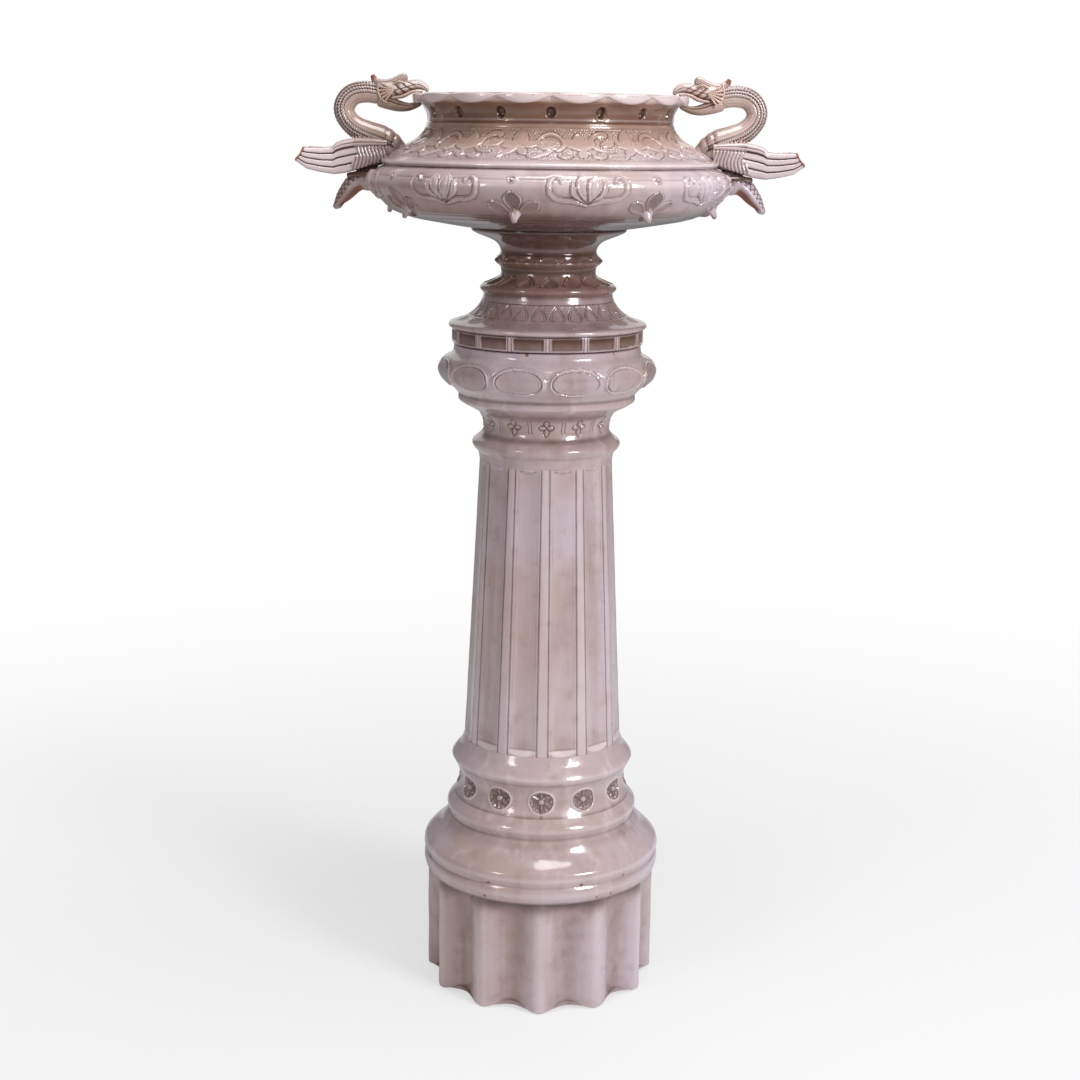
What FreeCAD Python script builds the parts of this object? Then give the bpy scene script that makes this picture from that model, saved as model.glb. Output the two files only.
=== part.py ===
import FreeCAD, Part
import Sketcher
import math
import os

# A glazed earthenware jardiniere on its stand, in millimetres.
# +Z is up, the origin is the centre of the plinth's underside, and the front faces -Y.
# The stand is a fluted plinth, a moulded base, a fluted shaft and a capital. The foot and the
# bowl stand loose on top of it, and two winged dragons form the bowl's handles.

Vector = FreeCAD.Vector

doc = FreeCAD.newDocument("jardiniere")

# ---------------------------------------------------------------- driving sizes

SIZES = {
    # clay
    "clay_wall": 22,
    "thin_wall": 14,
    # plinth
    "plinth_height": 188,
    "plinth_radius": 185.7,
    "plinth_flutes": 12,
    "plinth_flute_depth": 18,
    "plinth_flute_share": 0.88,
    # column base, from the plinth up
    "bead_height": 26,
    "bead_overhang": 6,
    "bead_groove": 3.5,
    "shoulder_height": 39,
    "lower_torus_radius": 154.5,
    "lower_torus_height": 30,
    "scotia_radius": 131.5,
    "scotia_height": 48,
    "upper_torus_radius": 146.2,
    "upper_torus_height": 38,
    "shaft_seat_height": 10,
    # shaft
    "shaft_bottom_radius": 126,
    "shaft_top_radius": 103.6,
    "shaft_height": 448,
    "shaft_flutes": 12,
    "shaft_flute_share": 0.72,
    "shaft_flute_depth": 6,
    # capital
    "necking_height": 23,
    "necking_flare": 1,
    "neck_torus_radius": 116,
    "neck_torus_height": 26,
    "neck_band_radius": 97.8,
    "neck_band_height": 34,
    "neck_band_cove": 4,
    "cove_height": 17,
    "collar_radius": 138.2,
    "collar_height": 14,
    "collar_bevel": 3,
    "bulb_radius": 168.4,
    "bulb_height": 64,
    "rim_radius": 145.3,
    "rim_height": 14,
    "rim_step": 1,
    # foot
    "foot_ring_radius": 148,
    "foot_ring_height": 25,
    "foot_lip_radius": 153.3,
    "foot_lip_height": 9,
    "foot_lip_slope": 3,
    "foot_bell_radius": 99.3,
    "foot_bell_height": 43,
    "foot_bell_drop": 11,
    "lower_knop_radius": 105.8,
    "lower_knop_height": 16,
    "foot_waist_radius": 72.8,
    "foot_waist_height": 26,
    "upper_knop_radius": 84.2,
    "upper_knop_height": 22,
    "foot_top_radius": 119.5,
    "foot_flare_height": 35,
    "foot_edge_height": 5,
    "foot_edge_bevel": 3,
    # bowl, from the foot up
    "belly_radius": 277,
    "belly_rise": 67,
    "belly_fall": 25,
    "groove_radius": 252,
    "groove_height": 7,
    "neck_radius": 185.5,
    "shoulder_rise": 58,
    "neck_height": 10,
    "lip_radius": 209,
    "lip_rise": 24,
    "lip_thickness": 7,
    "lip_lobes": 16,
    "lip_notch": 5,
    # dragon handles
    "dragon_body": 44,
    "dragon_neck": 30,
    "dragon_head": 34,
    "dragon_tail": 40,
    "crest_thickness": 12,
    "wing_length": 112,
    "wing_height": 42,
    "wing_thickness": 9,
    "wing_splay": 9,
    "feathers": 4,
    # facets of each round moulding, up its height
    "moulding_steps": 3,
}

sheet = doc.addObject("Spreadsheet::Sheet", "sizes")
for row, (alias, number) in enumerate(SIZES.items(), start=1):
    sheet.set(f"A{row}", alias)
    sheet.set(f"B{row}", str(number))
    sheet.setAlias(f"B{row}", alias)
doc.recompute()


class Size:
    """A length with the sheet formula that gives it, so that both follow the same cells."""

    def __init__(self, number, formula):
        self.number = float(number)
        self.formula = formula

    def __add__(self, other):
        other = as_size(other)
        return Size(self.number + other.number, f"({self.formula} + {other.formula})")

    def __sub__(self, other):
        other = as_size(other)
        return Size(self.number - other.number, f"({self.formula} - {other.formula})")

    def __mul__(self, share):
        return Size(self.number * share, f"({self.formula} * {share})")

    __radd__ = __add__


def as_size(value):
    """A plain number as a Size."""
    return value if isinstance(value, Size) else Size(value, f"{value:g}")


def size(alias):
    """The named cell of the sheet as a Size."""
    return Size(sheet.get(alias), f"sizes.{alias}")


def between(low, high, share):
    """The Size a share of the way from low to high."""
    return low * (1 - share) + high * share


# ---------------------------------------------------------------- drawing helpers


def new_body(label, base_height):
    """A body whose own origin stands at base_height on the axis of the column."""
    body = doc.addObject("PartDesign::Body", label)
    body.Label = label
    body.Placement.Base.z = base_height.number
    body.setExpression("Placement.Base.z", base_height.formula)
    return body


def new_sketch(body, name, role):
    """A sketch on one of the body's own origin planes."""
    sketch = body.newObject("Sketcher::SketchObject", name)
    plane = next(feature for feature in body.Origin.OriginFeatures if feature.Role == role)
    sketch.AttachmentSupport = [(plane, "")]
    sketch.MapMode = "FlatFace"
    return sketch


def place_point(sketch, element, end, point):
    """Ties one end of a sketch element to the origin by its two Sizes. A sketch numbers its
    level axis -1 and its upright axis -2, and its origin is point 1 of the level axis."""
    for kind, axis, value in (
        ("DistanceX", -2, as_size(point[0])),
        ("DistanceY", -1, as_size(point[1])),
    ):
        if abs(value.number) < 1e-9:
            sketch.addConstraint(Sketcher.Constraint("PointOnObject", element, end, axis))
            continue
        index = sketch.addConstraint(
            Sketcher.Constraint(kind, -1, 1, element, end, value.number)
        )
        sketch.setExpression(f"Constraints[{index}]", value.formula)


def plain_number(value):
    """The number of a Size or of a plain number."""
    return as_size(value).number


def flat(point):
    """The plain vector of a pair of Sizes."""
    return Vector(plain_number(point[0]), plain_number(point[1]), 0)


def turns_left(start, middle, end):
    """True when the way from start over middle to end turns anticlockwise."""
    return (middle - start).cross(end - middle).z > 0


def draw_outline(sketch, steps):
    """Draws a closed outline. Each step is a point, or (point, over) for an arc over a point."""
    points = [step if not isinstance(step[0], tuple) else step[0] for step in steps]
    overs = [None if not isinstance(step[0], tuple) else step[1] for step in steps]
    last_end = None
    first_start = None
    for index, start in enumerate(points):
        end = points[(index + 1) % len(points)]
        over = overs[(index + 1) % len(points)]
        if over is None:
            element = sketch.addGeometry(Part.LineSegment(flat(start), flat(end)), False)
            ends = (1, 2)
        elif turns_left(flat(start), flat(over), flat(end)):
            element = sketch.addGeometry(Part.Arc(flat(start), flat(over), flat(end)), False)
            ends = (1, 2)
        else:
            element = sketch.addGeometry(Part.Arc(flat(end), flat(over), flat(start)), False)
            ends = (2, 1)
        if last_end:
            sketch.addConstraint(Sketcher.Constraint("Coincident", *last_end, element, ends[0]))
        else:
            first_start = (element, ends[0])
        last_end = (element, ends[1])
        place_point(sketch, element, ends[0], start)
        if over is not None:
            marker = sketch.addGeometry(Part.Point(flat(over)), True)
            place_point(sketch, marker, 1, over)
            sketch.addConstraint(Sketcher.Constraint("PointOnObject", marker, 1, element))
    sketch.addConstraint(Sketcher.Constraint("Coincident", *last_end, *first_start))


def draw_circle(sketch, centre, radius):
    """Draws a circle tied to its centre and radius."""
    circle = sketch.addGeometry(
        Part.Circle(flat(centre), Vector(0, 0, 1), radius.number), False
    )
    place_point(sketch, circle, 3, centre)
    index = sketch.addConstraint(Sketcher.Constraint("Radius", circle, radius.number))
    sketch.setExpression(f"Constraints[{index}]", radius.formula)


def revolve(body, points):
    """Turns a closed outline of (radius, height) points round the column's axis."""
    sketch = new_sketch(body, "profile", "XZ_Plane")
    draw_outline(sketch, points)
    turned = body.newObject("PartDesign::Revolution", "turned")
    turned.Profile = sketch
    turned.ReferenceAxis = (sketch, ["V_Axis"])
    turned.Angle = 360
    body.Tip = turned


def swelling(start, end, tip, steps):
    """The points after start of a round moulding: half an ellipse that reaches the radius tip."""
    points = []
    for step in range(1, steps + 1):
        angle = math.pi * step / steps
        share = (1 - math.cos(angle)) / 2
        bulge = math.sin(angle)
        radius = between(between(start[0], end[0], share), tip, bulge)
        points.append((radius, between(start[1], end[1], share)))
    return points


def curl(start, end, steps, upright):
    """The points after start of a quarter ellipse that sets off upright, or else level."""
    points = []
    for step in range(1, steps + 1):
        angle = math.pi / 2 * step / steps
        rise = math.sin(angle) if upright else 1 - math.cos(angle)
        out = 1 - math.cos(angle) if upright else math.sin(angle)
        points.append((between(start[0], end[0], out), between(start[1], end[1], rise)))
    return points


FLUTE_CHORDS = 4


def draw_fluted_ring(sketch, radius, depth, count, flute_share):
    """Draws a ring of flat-bottomed arrises with a round flute between each two."""
    pitch = 2 * math.pi / count
    half_flute = pitch / 2 * flute_share
    steps = []
    for index in range(count):
        middle = pitch * (index + 0.5)
        for angle, over_angle, over_radius in (
            (middle - half_flute, middle - pitch / 2, radius),
            (middle + half_flute, middle, radius - depth),
        ):
            point = (radius * math.cos(angle), radius * math.sin(angle))
            over = (over_radius * math.cos(over_angle), over_radius * math.sin(over_angle))
            steps.append((point, over))
    draw_outline(sketch, steps)


def draw_tapered_ring(sketch, radius, depth, count, flute_share):
    """Draws the same ring with each flute in four straight chords, for a ruled taper."""
    pitch = 2 * math.pi / count
    half_flute = pitch / 2 * flute_share
    points = []
    for index in range(count):
        middle = pitch * (index + 0.5)
        for chord in range(FLUTE_CHORDS + 1):
            across = 2 * chord / FLUTE_CHORDS - 1
            angle = middle + half_flute * across
            reach = radius - depth * (1 - across * across)
            points.append((reach * math.cos(angle), reach * math.sin(angle)))
    draw_outline(sketch, points)


def lifted(points, height):
    """The same points, higher by height."""
    return [(radius, level + height) for radius, level in points]


def raise_sketch(sketch, height):
    """Lifts a level sketch to a height in its body."""
    sketch.AttachmentOffset = FreeCAD.Placement(Vector(0, 0, height.number), FreeCAD.Rotation())
    sketch.setExpression("AttachmentOffset.Base.z", height.formula)


def loft(body, kind, low, high):
    """Joins two level sketches by straight lines, adding or taking away."""
    feature = body.newObject(kind, "loft")
    feature.Profile = low
    feature.Sections = [high]
    feature.Ruled = True
    body.Tip = feature


def repeat_round(body, feature, count_alias):
    """Copies a feature evenly round the body's own upright axis."""
    pattern = body.newObject("PartDesign::PolarPattern", "round")
    pattern.Originals = [feature]
    axis = next(line for line in body.Origin.OriginFeatures if line.Role == "Z_Axis")
    pattern.Axis = (axis, [""])
    pattern.Angle = 360
    pattern.Occurrences = int(sheet.get(count_alias))
    pattern.setExpression("Occurrences", f"sizes.{count_alias}")
    body.Tip = pattern


# ---------------------------------------------------------------- levels of the sections

wall = size("clay_wall")
thin_wall = size("thin_wall")
steps = int(sheet.get("moulding_steps"))

plinth_top = size("plinth_height")
plinth_bore = size("plinth_radius") - size("plinth_flute_depth") - wall

beads_top = size("bead_height") * 2
shoulder_top = beads_top + size("shoulder_height")
lower_torus_top = shoulder_top + size("lower_torus_height")
scotia_top = lower_torus_top + size("scotia_height")
upper_torus_top = scotia_top + size("upper_torus_height")
base_height = upper_torus_top + size("shaft_seat_height")
base_top = plinth_top + base_height

shaft_top = base_top + size("shaft_height")
shaft_bore = size("shaft_top_radius") - wall

necking_top = size("necking_height")
neck_torus_top = necking_top + size("neck_torus_height")
neck_band_top = neck_torus_top + size("neck_band_height")
cove_top = neck_band_top + size("cove_height")
collar_top = cove_top + size("collar_height")
bulb_top = collar_top + size("bulb_height")
capital_height = bulb_top + size("rim_height")
capital_top = shaft_top + capital_height

foot_lip_bottom = size("foot_ring_height")
foot_lip_top = foot_lip_bottom + size("foot_lip_height")
foot_bell_top = foot_lip_top + size("foot_bell_height")
lower_knop_top = foot_bell_top + size("lower_knop_height")
foot_waist_top = lower_knop_top + size("foot_waist_height")
upper_knop_top = foot_waist_top + size("upper_knop_height")
foot_height = upper_knop_top + size("foot_flare_height")
foot_top = capital_top + foot_height

belly_level = size("belly_rise")
groove_level = belly_level + size("belly_fall")
shoulder_level = groove_level + size("groove_height")
neck_level = shoulder_level + size("shoulder_rise")
lip_level = neck_level + size("neck_height")
rim_level = lip_level + size("lip_rise") + size("lip_thickness")

# ---------------------------------------------------------------- plinth


def make_plinth():
    """A fluted drum, open underneath."""
    body = new_body("plinth", plinth_top * 0)
    sketch = new_sketch(body, "fluted_ring", "XY_Plane")
    draw_fluted_ring(
        sketch, size("plinth_radius"), size("plinth_flute_depth"),
        int(sheet.get("plinth_flutes")), sheet.get("plinth_flute_share"),
    )
    draw_circle(sketch, (0, 0), plinth_bore)
    drum = body.newObject("PartDesign::Pad", "drum")
    drum.Profile = sketch
    drum.Length = plinth_top.number
    drum.setExpression("Length", plinth_top.formula)
    body.Tip = drum
    return body


# ---------------------------------------------------------------- column


def base_outline():
    """The outer points of the column base: two beads, a shoulder, a torus, a scotia, a torus."""
    edge = size("plinth_radius")
    tip = edge + size("bead_overhang")
    groove = (tip - size("bead_groove"), size("bead_height"))
    bead_foot = (groove[0], groove[1] * 0)
    bead_head = (edge, beads_top)
    lower = size("lower_torus_radius")
    torus_foot = (lower - size("bead_overhang"), shoulder_top)
    torus_head = (lower - size("bead_overhang") * 1.5, lower_torus_top)
    upper = size("upper_torus_radius")
    upper_foot = (upper - size("bead_overhang"), scotia_top)
    upper_head = (upper - size("shaft_seat_height") * 1.4, upper_torus_top)
    return [
        bead_foot,
        *swelling(bead_foot, groove, tip, 3),
        *swelling(groove, bead_head, tip, 3),
        (between(edge, lower, 0.8), between(beads_top, shoulder_top, 0.6)),
        torus_foot,
        *swelling(torus_foot, torus_head, lower, steps),
        *swelling(torus_head, upper_foot, size("scotia_radius"), steps),
        *swelling(upper_foot, upper_head, upper, steps),
        (size("shaft_bottom_radius"), base_height),
    ]


def capital_outline():
    """The outer points of the capital: necking, torus, band, cove, collar, bulb and rim."""
    shaft = size("shaft_top_radius")
    band = size("neck_band_radius")
    collar = size("collar_radius")
    rim = size("rim_radius")
    torus_foot = (shaft + size("necking_flare"), necking_top)
    torus_head = (band + size("neck_band_cove"), neck_torus_top)
    collar_foot = (collar - size("collar_bevel"), cove_top)
    collar_head = (collar, collar_top)
    bulb_head = (rim + size("rim_step"), bulb_top)
    return [
        (shaft, necking_top * 0),
        torus_foot,
        *swelling(torus_foot, torus_head, size("neck_torus_radius"), steps),
        (band, between(neck_torus_top, neck_band_top, 0.4)),
        *curl((band, neck_band_top), collar_foot, 2, True),
        collar_head,
        *swelling(collar_head, bulb_head, size("bulb_radius"), steps + 1),
        (rim, capital_height),
    ]


def make_column():
    """The hollow column: a turned base, a tapered fluted shaft and a turned capital."""
    body = new_body("column", plinth_top)
    shaft_height = size("shaft_height")
    capital_foot = base_height + shaft_height
    column_height = capital_foot + capital_height
    revolve(body, [
        *base_outline(),
        (shaft_bore, base_height),
        (shaft_bore, beads_top),
        (plinth_bore, beads_top),
        (plinth_bore, plinth_top * 0),
    ])
    depth = size("shaft_flute_depth")
    count = int(sheet.get("shaft_flutes"))
    share = sheet.get("shaft_flute_share")
    taper = sheet.get("shaft_top_radius") / sheet.get("shaft_bottom_radius")
    low = new_sketch(body, "low_ring", "XY_Plane")
    raise_sketch(low, base_height)
    draw_tapered_ring(low, size("shaft_bottom_radius"), depth, count, share)
    draw_circle(low, (0, 0), shaft_bore)
    high = new_sketch(body, "high_ring", "XY_Plane")
    raise_sketch(high, capital_foot)
    draw_tapered_ring(high, size("shaft_top_radius"), depth * taper, count, share)
    draw_circle(high, (0, 0), shaft_bore)
    loft(body, "PartDesign::AdditiveLoft", low, high)
    mouth = size("rim_radius") - wall
    revolve(body, [
        *lifted(capital_outline(), capital_foot),
        (mouth, column_height),
        (mouth, collar_top + capital_foot),
        (shaft_bore, collar_top + capital_foot),
        (shaft_bore, capital_foot),
    ])
    return body


# ---------------------------------------------------------------- foot


def make_bowl_foot():
    """A ring, a bell and two knops under a flared top, hollow and open at both ends."""
    body = new_body("bowl_foot", capital_top)
    ring = size("foot_ring_radius")
    lip = size("foot_lip_radius")
    bell = (size("foot_bell_radius"), foot_bell_top)
    lower = size("lower_knop_radius")
    waist = size("foot_waist_radius")
    upper = size("upper_knop_radius")
    top = size("foot_top_radius")
    lower_head = (between(waist, lower, 0.5), lower_knop_top)
    upper_foot = (waist, foot_waist_top)
    upper_head = (waist, upper_knop_top)
    flare_head = (top - size("foot_edge_bevel"), foot_height - size("foot_edge_height"))
    hollow = waist - thin_wall
    revolve(body, [
        (ring, foot_height * 0),
        (ring, foot_lip_bottom),
        (lip, foot_lip_top - size("foot_lip_slope")),
        (between(lip, bell[0], 0.6), foot_lip_top + size("foot_bell_drop")),
        bell,
        *swelling(bell, lower_head, lower, 3),
        upper_foot,
        *swelling(upper_foot, upper_head, upper, steps),
        *curl(upper_head, flare_head, 2, True),
        (top, foot_height),
        (hollow, foot_height),
        (hollow, foot_lip_top),
        (ring - wall, foot_lip_top),
        (ring - wall, foot_height * 0),
    ])
    return body


# ---------------------------------------------------------------- bowl


def bowl_outline():
    """The outer points of the bowl, from the foot to the edge of the lip."""
    seat = size("foot_top_radius")
    belly = size("belly_radius")
    groove = size("groove_radius")
    neck = size("neck_radius")
    lip = size("lip_radius")
    under = [
        (between(seat, belly, out), belly_level * up)
        for out, up in ((0, 0), (0.36, 0.14), (0.77, 0.4), (0.92, 0.75), (1, 1))
    ]
    crown = curl(under[-1], (groove, groove_level), 2, True)
    shoulder = [
        (between(groove, neck, inward), between(shoulder_level, neck_level, up))
        for inward, up in ((0, 0), (0.26, 0.24), (0.7, 0.55), (1, 1))
    ]
    neck_head = (neck, lip_level)
    lip_foot = (lip, lip_level + size("lip_rise"))
    return [
        *under,
        *crown,
        *shoulder,
        neck_head,
        *curl(neck_head, lip_foot, 2, True),
        (lip, rim_level),
    ]


def make_bowl():
    """The wide shallow bowl, closed at the bottom, with a lobed lip."""
    body = new_body("bowl", foot_top)
    seat = size("foot_top_radius")
    inner_belly = size("belly_radius") - thin_wall
    inner_groove = size("groove_radius") - thin_wall
    inner_neck = size("neck_radius") - thin_wall
    floor_level = thin_wall * 2
    revolve(body, [
        *bowl_outline(),
        (size("lip_radius") - thin_wall, rim_level),
        (inner_neck, lip_level),
        (inner_neck, neck_level),
        (inner_groove, groove_level),
        (inner_belly, belly_level),
        (between(seat, inner_belly, 0.8), floor_level),
        (seat * 0, floor_level),
        (seat * 0, belly_level * 0),
    ])
    notches = new_sketch(body, "notch", "XY_Plane")
    raise_sketch(notches, rim_level)
    lip = size("lip_radius")
    notch = size("lip_notch")
    draw_outline(notches, [
        (lip - notch, notch * 0),
        (lip + notch, notch * 2),
        (lip + notch, notch * -2),
    ])
    cut = body.newObject("PartDesign::Pocket", "cut")
    cut.Profile = notches
    cut.Length = size("lip_thickness").number
    cut.setExpression("Length", size("lip_thickness").formula)
    body.Tip = cut
    repeat_round(body, cut, "lip_lobes")
    return body


# ---------------------------------------------------------------- pieces seated on a carrier


def new_piece(label, shape, base_height):
    """A finished shape as a named object, standing at base_height like the piece it sits on."""
    piece = doc.addObject("Part::Feature", label)
    piece.Label = label
    piece.Shape = shape
    piece.Placement.Base.z = base_height.number
    piece.setExpression("Placement.Base.z", base_height.formula)
    return piece


def local_shape(piece):
    """A piece's shape in its own frame, with its base at zero."""
    return piece.Shape.translated(Vector(0, 0, -piece.Placement.Base.z))


# ---------------------------------------------------------------- dragon handles

# A dragon is drawn on the +X side in the bowl's frame. Each station of a limb is
# (follow, out, up, tall, wide): follow is how far its place goes with the lip (1) rather than
# with the belly (0), out and up are millimetres from there, and tall and wide are half sizes
# as shares of the limb's girth.
BODY = (
    (0, -45, 53, 0.27, 0.32), (0, -29, 52, 0.45, 0.43), (0, -7, 46, 0.57, 0.50),
    (0, 18, 41, 0.52, 0.48), (0, 38, 32, 0.39, 0.39), (0, 51, 24, 0.23, 0.27),
)
NECK = (
    (0, -15, 62, 0.67, 0.60), (0.15, 7, 54, 0.57, 0.53), (0.35, 37, 41, 0.52, 0.50),
    (0.55, 64, 28, 0.50, 0.48), (0.75, 83, 16, 0.48, 0.47), (0.9, 86, 10, 0.47, 0.47),
    (1, 78, 5, 0.45, 0.45), (1, 61, 5, 0.43, 0.45), (1, 47, 0, 0.45, 0.47),
)
HEAD = (
    (1, 47, 0, 0.38, 0.44), (1, 34, 2, 0.44, 0.50), (1, 19, 1, 0.38, 0.44),
    (1, 3, 7, 0.24, 0.35), (1, -12, 12, 0.21, 0.26), (1, -23, 9, 0.15, 0.18),
    (1, -29, 1, 0.07, 0.10),
)
JAW = (
    (1, 37, -11, 0.26, 0.38), (1, 26, -15, 0.24, 0.35), (1, 8, -20, 0.18, 0.30),
    (1, -6, -19, 0.15, 0.24), (1, -17, -17, 0.09, 0.15),
)
TAIL = (
    (0, 6, 8, 0.40, 0.50), (0, 23, -2, 0.38, 0.45), (0, 35, -16, 0.30, 0.35),
    (0, 45, -30, 0.18, 0.22), (0, 51, -40, 0.06, 0.10),
)
# Plates are outlines of (out, up) from the lip, for the crest, or from the belly, for the wing.
CREST = ((53, 5), (58, 30), (43, 22), (27, 20), (13, 21), (5, 28), (3, 8), (24, 4))
COVERT = ((-9, 32), (-5, 58), (23, 57), (48, 50), (45, 12), (18, 15))
FEATHER_ROOT = 30
RING_SIDES = 8


def dragon_point(follow, out, up):
    """A place beside the bowl that goes with its belly, its lip or a share of both."""
    radius = between(size("belly_radius"), size("lip_radius"), follow)
    level = between(belly_level, rim_level, follow)
    return Vector(radius.number + out, 0, level.number + up)


def skin(rings):
    """A solid with flat triangles between rings of corners and a flat face over each end."""
    faces = [Part.Face(Part.makePolygon([*ring, ring[0]])) for ring in (rings[0], rings[-1])]
    for ring, following in zip(rings, rings[1:]):
        for index in range(len(ring)):
            turned = (index + 1) % len(ring)
            for corners in (
                (ring[index], ring[turned], following[turned]),
                (ring[index], following[turned], following[index]),
            ):
                faces.append(Part.Face(Part.makePolygon([*corners, corners[0]])))
    return Part.makeSolid(Part.makeShell(faces))


def limb(stations, girth):
    """A solid through rings that stand square to the way along the stations."""
    centres = [dragon_point(*station[:3]) for station in stations]
    rings = []
    for index, (centre, station) in enumerate(zip(centres, stations)):
        before = centres[max(index - 1, 0)]
        after = centres[min(index + 1, len(centres) - 1)]
        along = (after - before).normalize()
        upward = Vector(-along.z, 0, along.x) * (station[3] * girth)
        sideways = Vector(0, station[4] * girth, 0)
        corners = []
        for corner in range(RING_SIDES):
            angle = 2 * math.pi * (corner + 0.5) / RING_SIDES
            corners.append(centre + upward * math.sin(angle) + sideways * math.cos(angle))
        rings.append(corners)
    return skin(rings)


def plate(follow, outline, inner, outer):
    """A flat plate of an outline, from the inner to the outer distance off the middle plane."""
    corners = [dragon_point(follow, out, up) + Vector(0, inner, 0) for out, up in outline]
    return Part.Face(Part.makePolygon([*corners, corners[0]])).extrude(
        Vector(0, outer - inner, 0)
    )


def feather_outline(index, count):
    """One flight feather: a slat that ends in a slanted tip."""
    pitch = sheet.get("wing_height") / count
    middle = count / 2
    reach = sheet.get("wing_length") * (1 - 0.1 * abs(1 - index / middle)) + COVERT[0][0]
    top = COVERT[3][1] - pitch * index
    return (
        (FEATHER_ROOT, top + 2), (reach - 3, top - 1), (reach, top - pitch * 0.7),
        (reach - 9, top - pitch - 1), (FEATHER_ROOT, top - pitch - 1),
    )


def wing(side):
    """A wing beside the body: a covert plate over stepped flight feathers, splayed outward."""
    inner = sheet.get("dragon_body") / 2 - 2
    thickness = sheet.get("wing_thickness")
    count = int(sheet.get("feathers"))
    shape = plate(0, COVERT, inner, inner + thickness + 2)
    for index in range(count):
        outer = inner + thickness - 2 * (index % 2)
        shape = shape.fuse(plate(0, feather_outline(index, count), inner, outer))
    shape = shape.removeSplitter()
    hinge = dragon_point(0, *COVERT[0]) + Vector(0, inner, 0)
    shape.rotate(hinge, Vector(0, 0, 1), sheet.get("wing_splay"))
    if side < 0:
        shape = shape.mirror(Vector(0, 0, 0), Vector(0, 1, 0))
    return shape


def trimmed(shape, *carriers):
    """The largest solid left of a shape once its carriers are cut away."""
    for carrier in carriers:
        shape = shape.cut(carrier)
    return max(shape.Solids, key=lambda one: one.Volume)


def make_dragons(bowl):
    """Two winged dragons, each biting the lip with its body against the shoulder."""
    vessel = local_shape(bowl)
    body = trimmed(limb(BODY, sheet.get("dragon_body")), vessel)
    neck = trimmed(limb(NECK, sheet.get("dragon_neck")), vessel, body)
    girth = sheet.get("dragon_head")
    head = trimmed(limb(HEAD, girth).fuse(limb(JAW, girth)), vessel, neck)
    thickness = sheet.get("crest_thickness")
    crest = trimmed(plate(1, CREST, -thickness / 2, thickness / 2), head, neck)
    front_wing = trimmed(wing(-1), vessel, body)
    back_wing = trimmed(wing(1), vessel, body)
    tail = trimmed(
        limb(TAIL, sheet.get("dragon_tail")), vessel, body, front_wing, back_wing
    )
    pieces = []
    for side, flip in (("right", False), ("left", True)):
        for name, shape in (
            ("body", body), ("neck", neck), ("head", head), ("crest", crest),
            ("front_wing", front_wing), ("back_wing", back_wing), ("tail", tail),
        ):
            if flip:
                shape = shape.mirror(Vector(0, 0, 0), Vector(1, 0, 0))
            pieces.append(new_piece(f"{side}_dragon_{name}", shape, foot_top))
    return pieces


# ---------------------------------------------------------------- build

plinth = make_plinth()
column = make_column()
bowl_foot = make_bowl_foot()
bowl = make_bowl()
doc.recompute()

made = [
    plinth,
    column,
    bowl_foot,
    bowl,
    *make_dragons(bowl),
]
doc.recompute()

# ---------------------------------------------------------------- test and write

for entry in doc.Objects:
    if "Invalid" in entry.State or "Error" in entry.State:
        raise RuntimeError(f"{entry.Label} did not build: {entry.State}")
for piece in made:
    if piece.Shape.isNull() or not piece.Shape.isValid():
        raise RuntimeError(f"{piece.Label} has no valid shape")

os.makedirs("parts", exist_ok=True)
for piece in made:
    piece.Shape.exportStep(os.path.join("parts", piece.Label + ".step"))
    box = piece.Shape.BoundBox
    print(
        f"{piece.Label}: {len(piece.Shape.Solids)} solids, {piece.Shape.Volume / 1e6:.3f} litres,"
        f" x {box.XMin:.1f}..{box.XMax:.1f}, y {box.YMin:.1f}..{box.YMax:.1f},"
        f" z {box.ZMin:.1f}..{box.ZMax:.1f}"
    )
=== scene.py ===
# %% [markdown]
# # A glazed jardiniere on its column stand
# This lesson dresses a plain CAD frame as an old earthenware jardiniere: a wide bowl with two
# dragon handles, a knopped foot, and a fluted column on a fluted plinth. The frame gives the
# sizes and the bodies that move, and each piece below rides on one of those bodies.

# %% Load the frame
import math

import bpy
import numpy as np
from mathutils import Matrix, Vector


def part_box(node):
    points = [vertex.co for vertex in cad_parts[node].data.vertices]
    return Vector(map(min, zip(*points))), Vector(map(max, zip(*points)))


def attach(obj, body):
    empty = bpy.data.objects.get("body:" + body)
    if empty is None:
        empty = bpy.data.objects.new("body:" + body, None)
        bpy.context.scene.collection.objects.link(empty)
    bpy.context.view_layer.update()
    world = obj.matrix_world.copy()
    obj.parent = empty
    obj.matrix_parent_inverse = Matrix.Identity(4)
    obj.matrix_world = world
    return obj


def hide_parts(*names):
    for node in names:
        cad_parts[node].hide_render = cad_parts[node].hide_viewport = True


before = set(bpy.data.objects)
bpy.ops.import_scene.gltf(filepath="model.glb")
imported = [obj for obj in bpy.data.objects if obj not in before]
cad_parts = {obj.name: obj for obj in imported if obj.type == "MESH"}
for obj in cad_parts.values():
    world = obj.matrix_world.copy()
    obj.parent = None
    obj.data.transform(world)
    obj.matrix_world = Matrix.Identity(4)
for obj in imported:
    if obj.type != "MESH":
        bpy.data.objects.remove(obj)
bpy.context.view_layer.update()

MM = 0.001
scene = bpy.context.scene

# %% [markdown]
# ## Levels taken from the frame
# All sections stack on one axis, so a handful of heights ties every outline to the frame. The
# outlines are drawn in millimetres above the section that they stand on.

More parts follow.
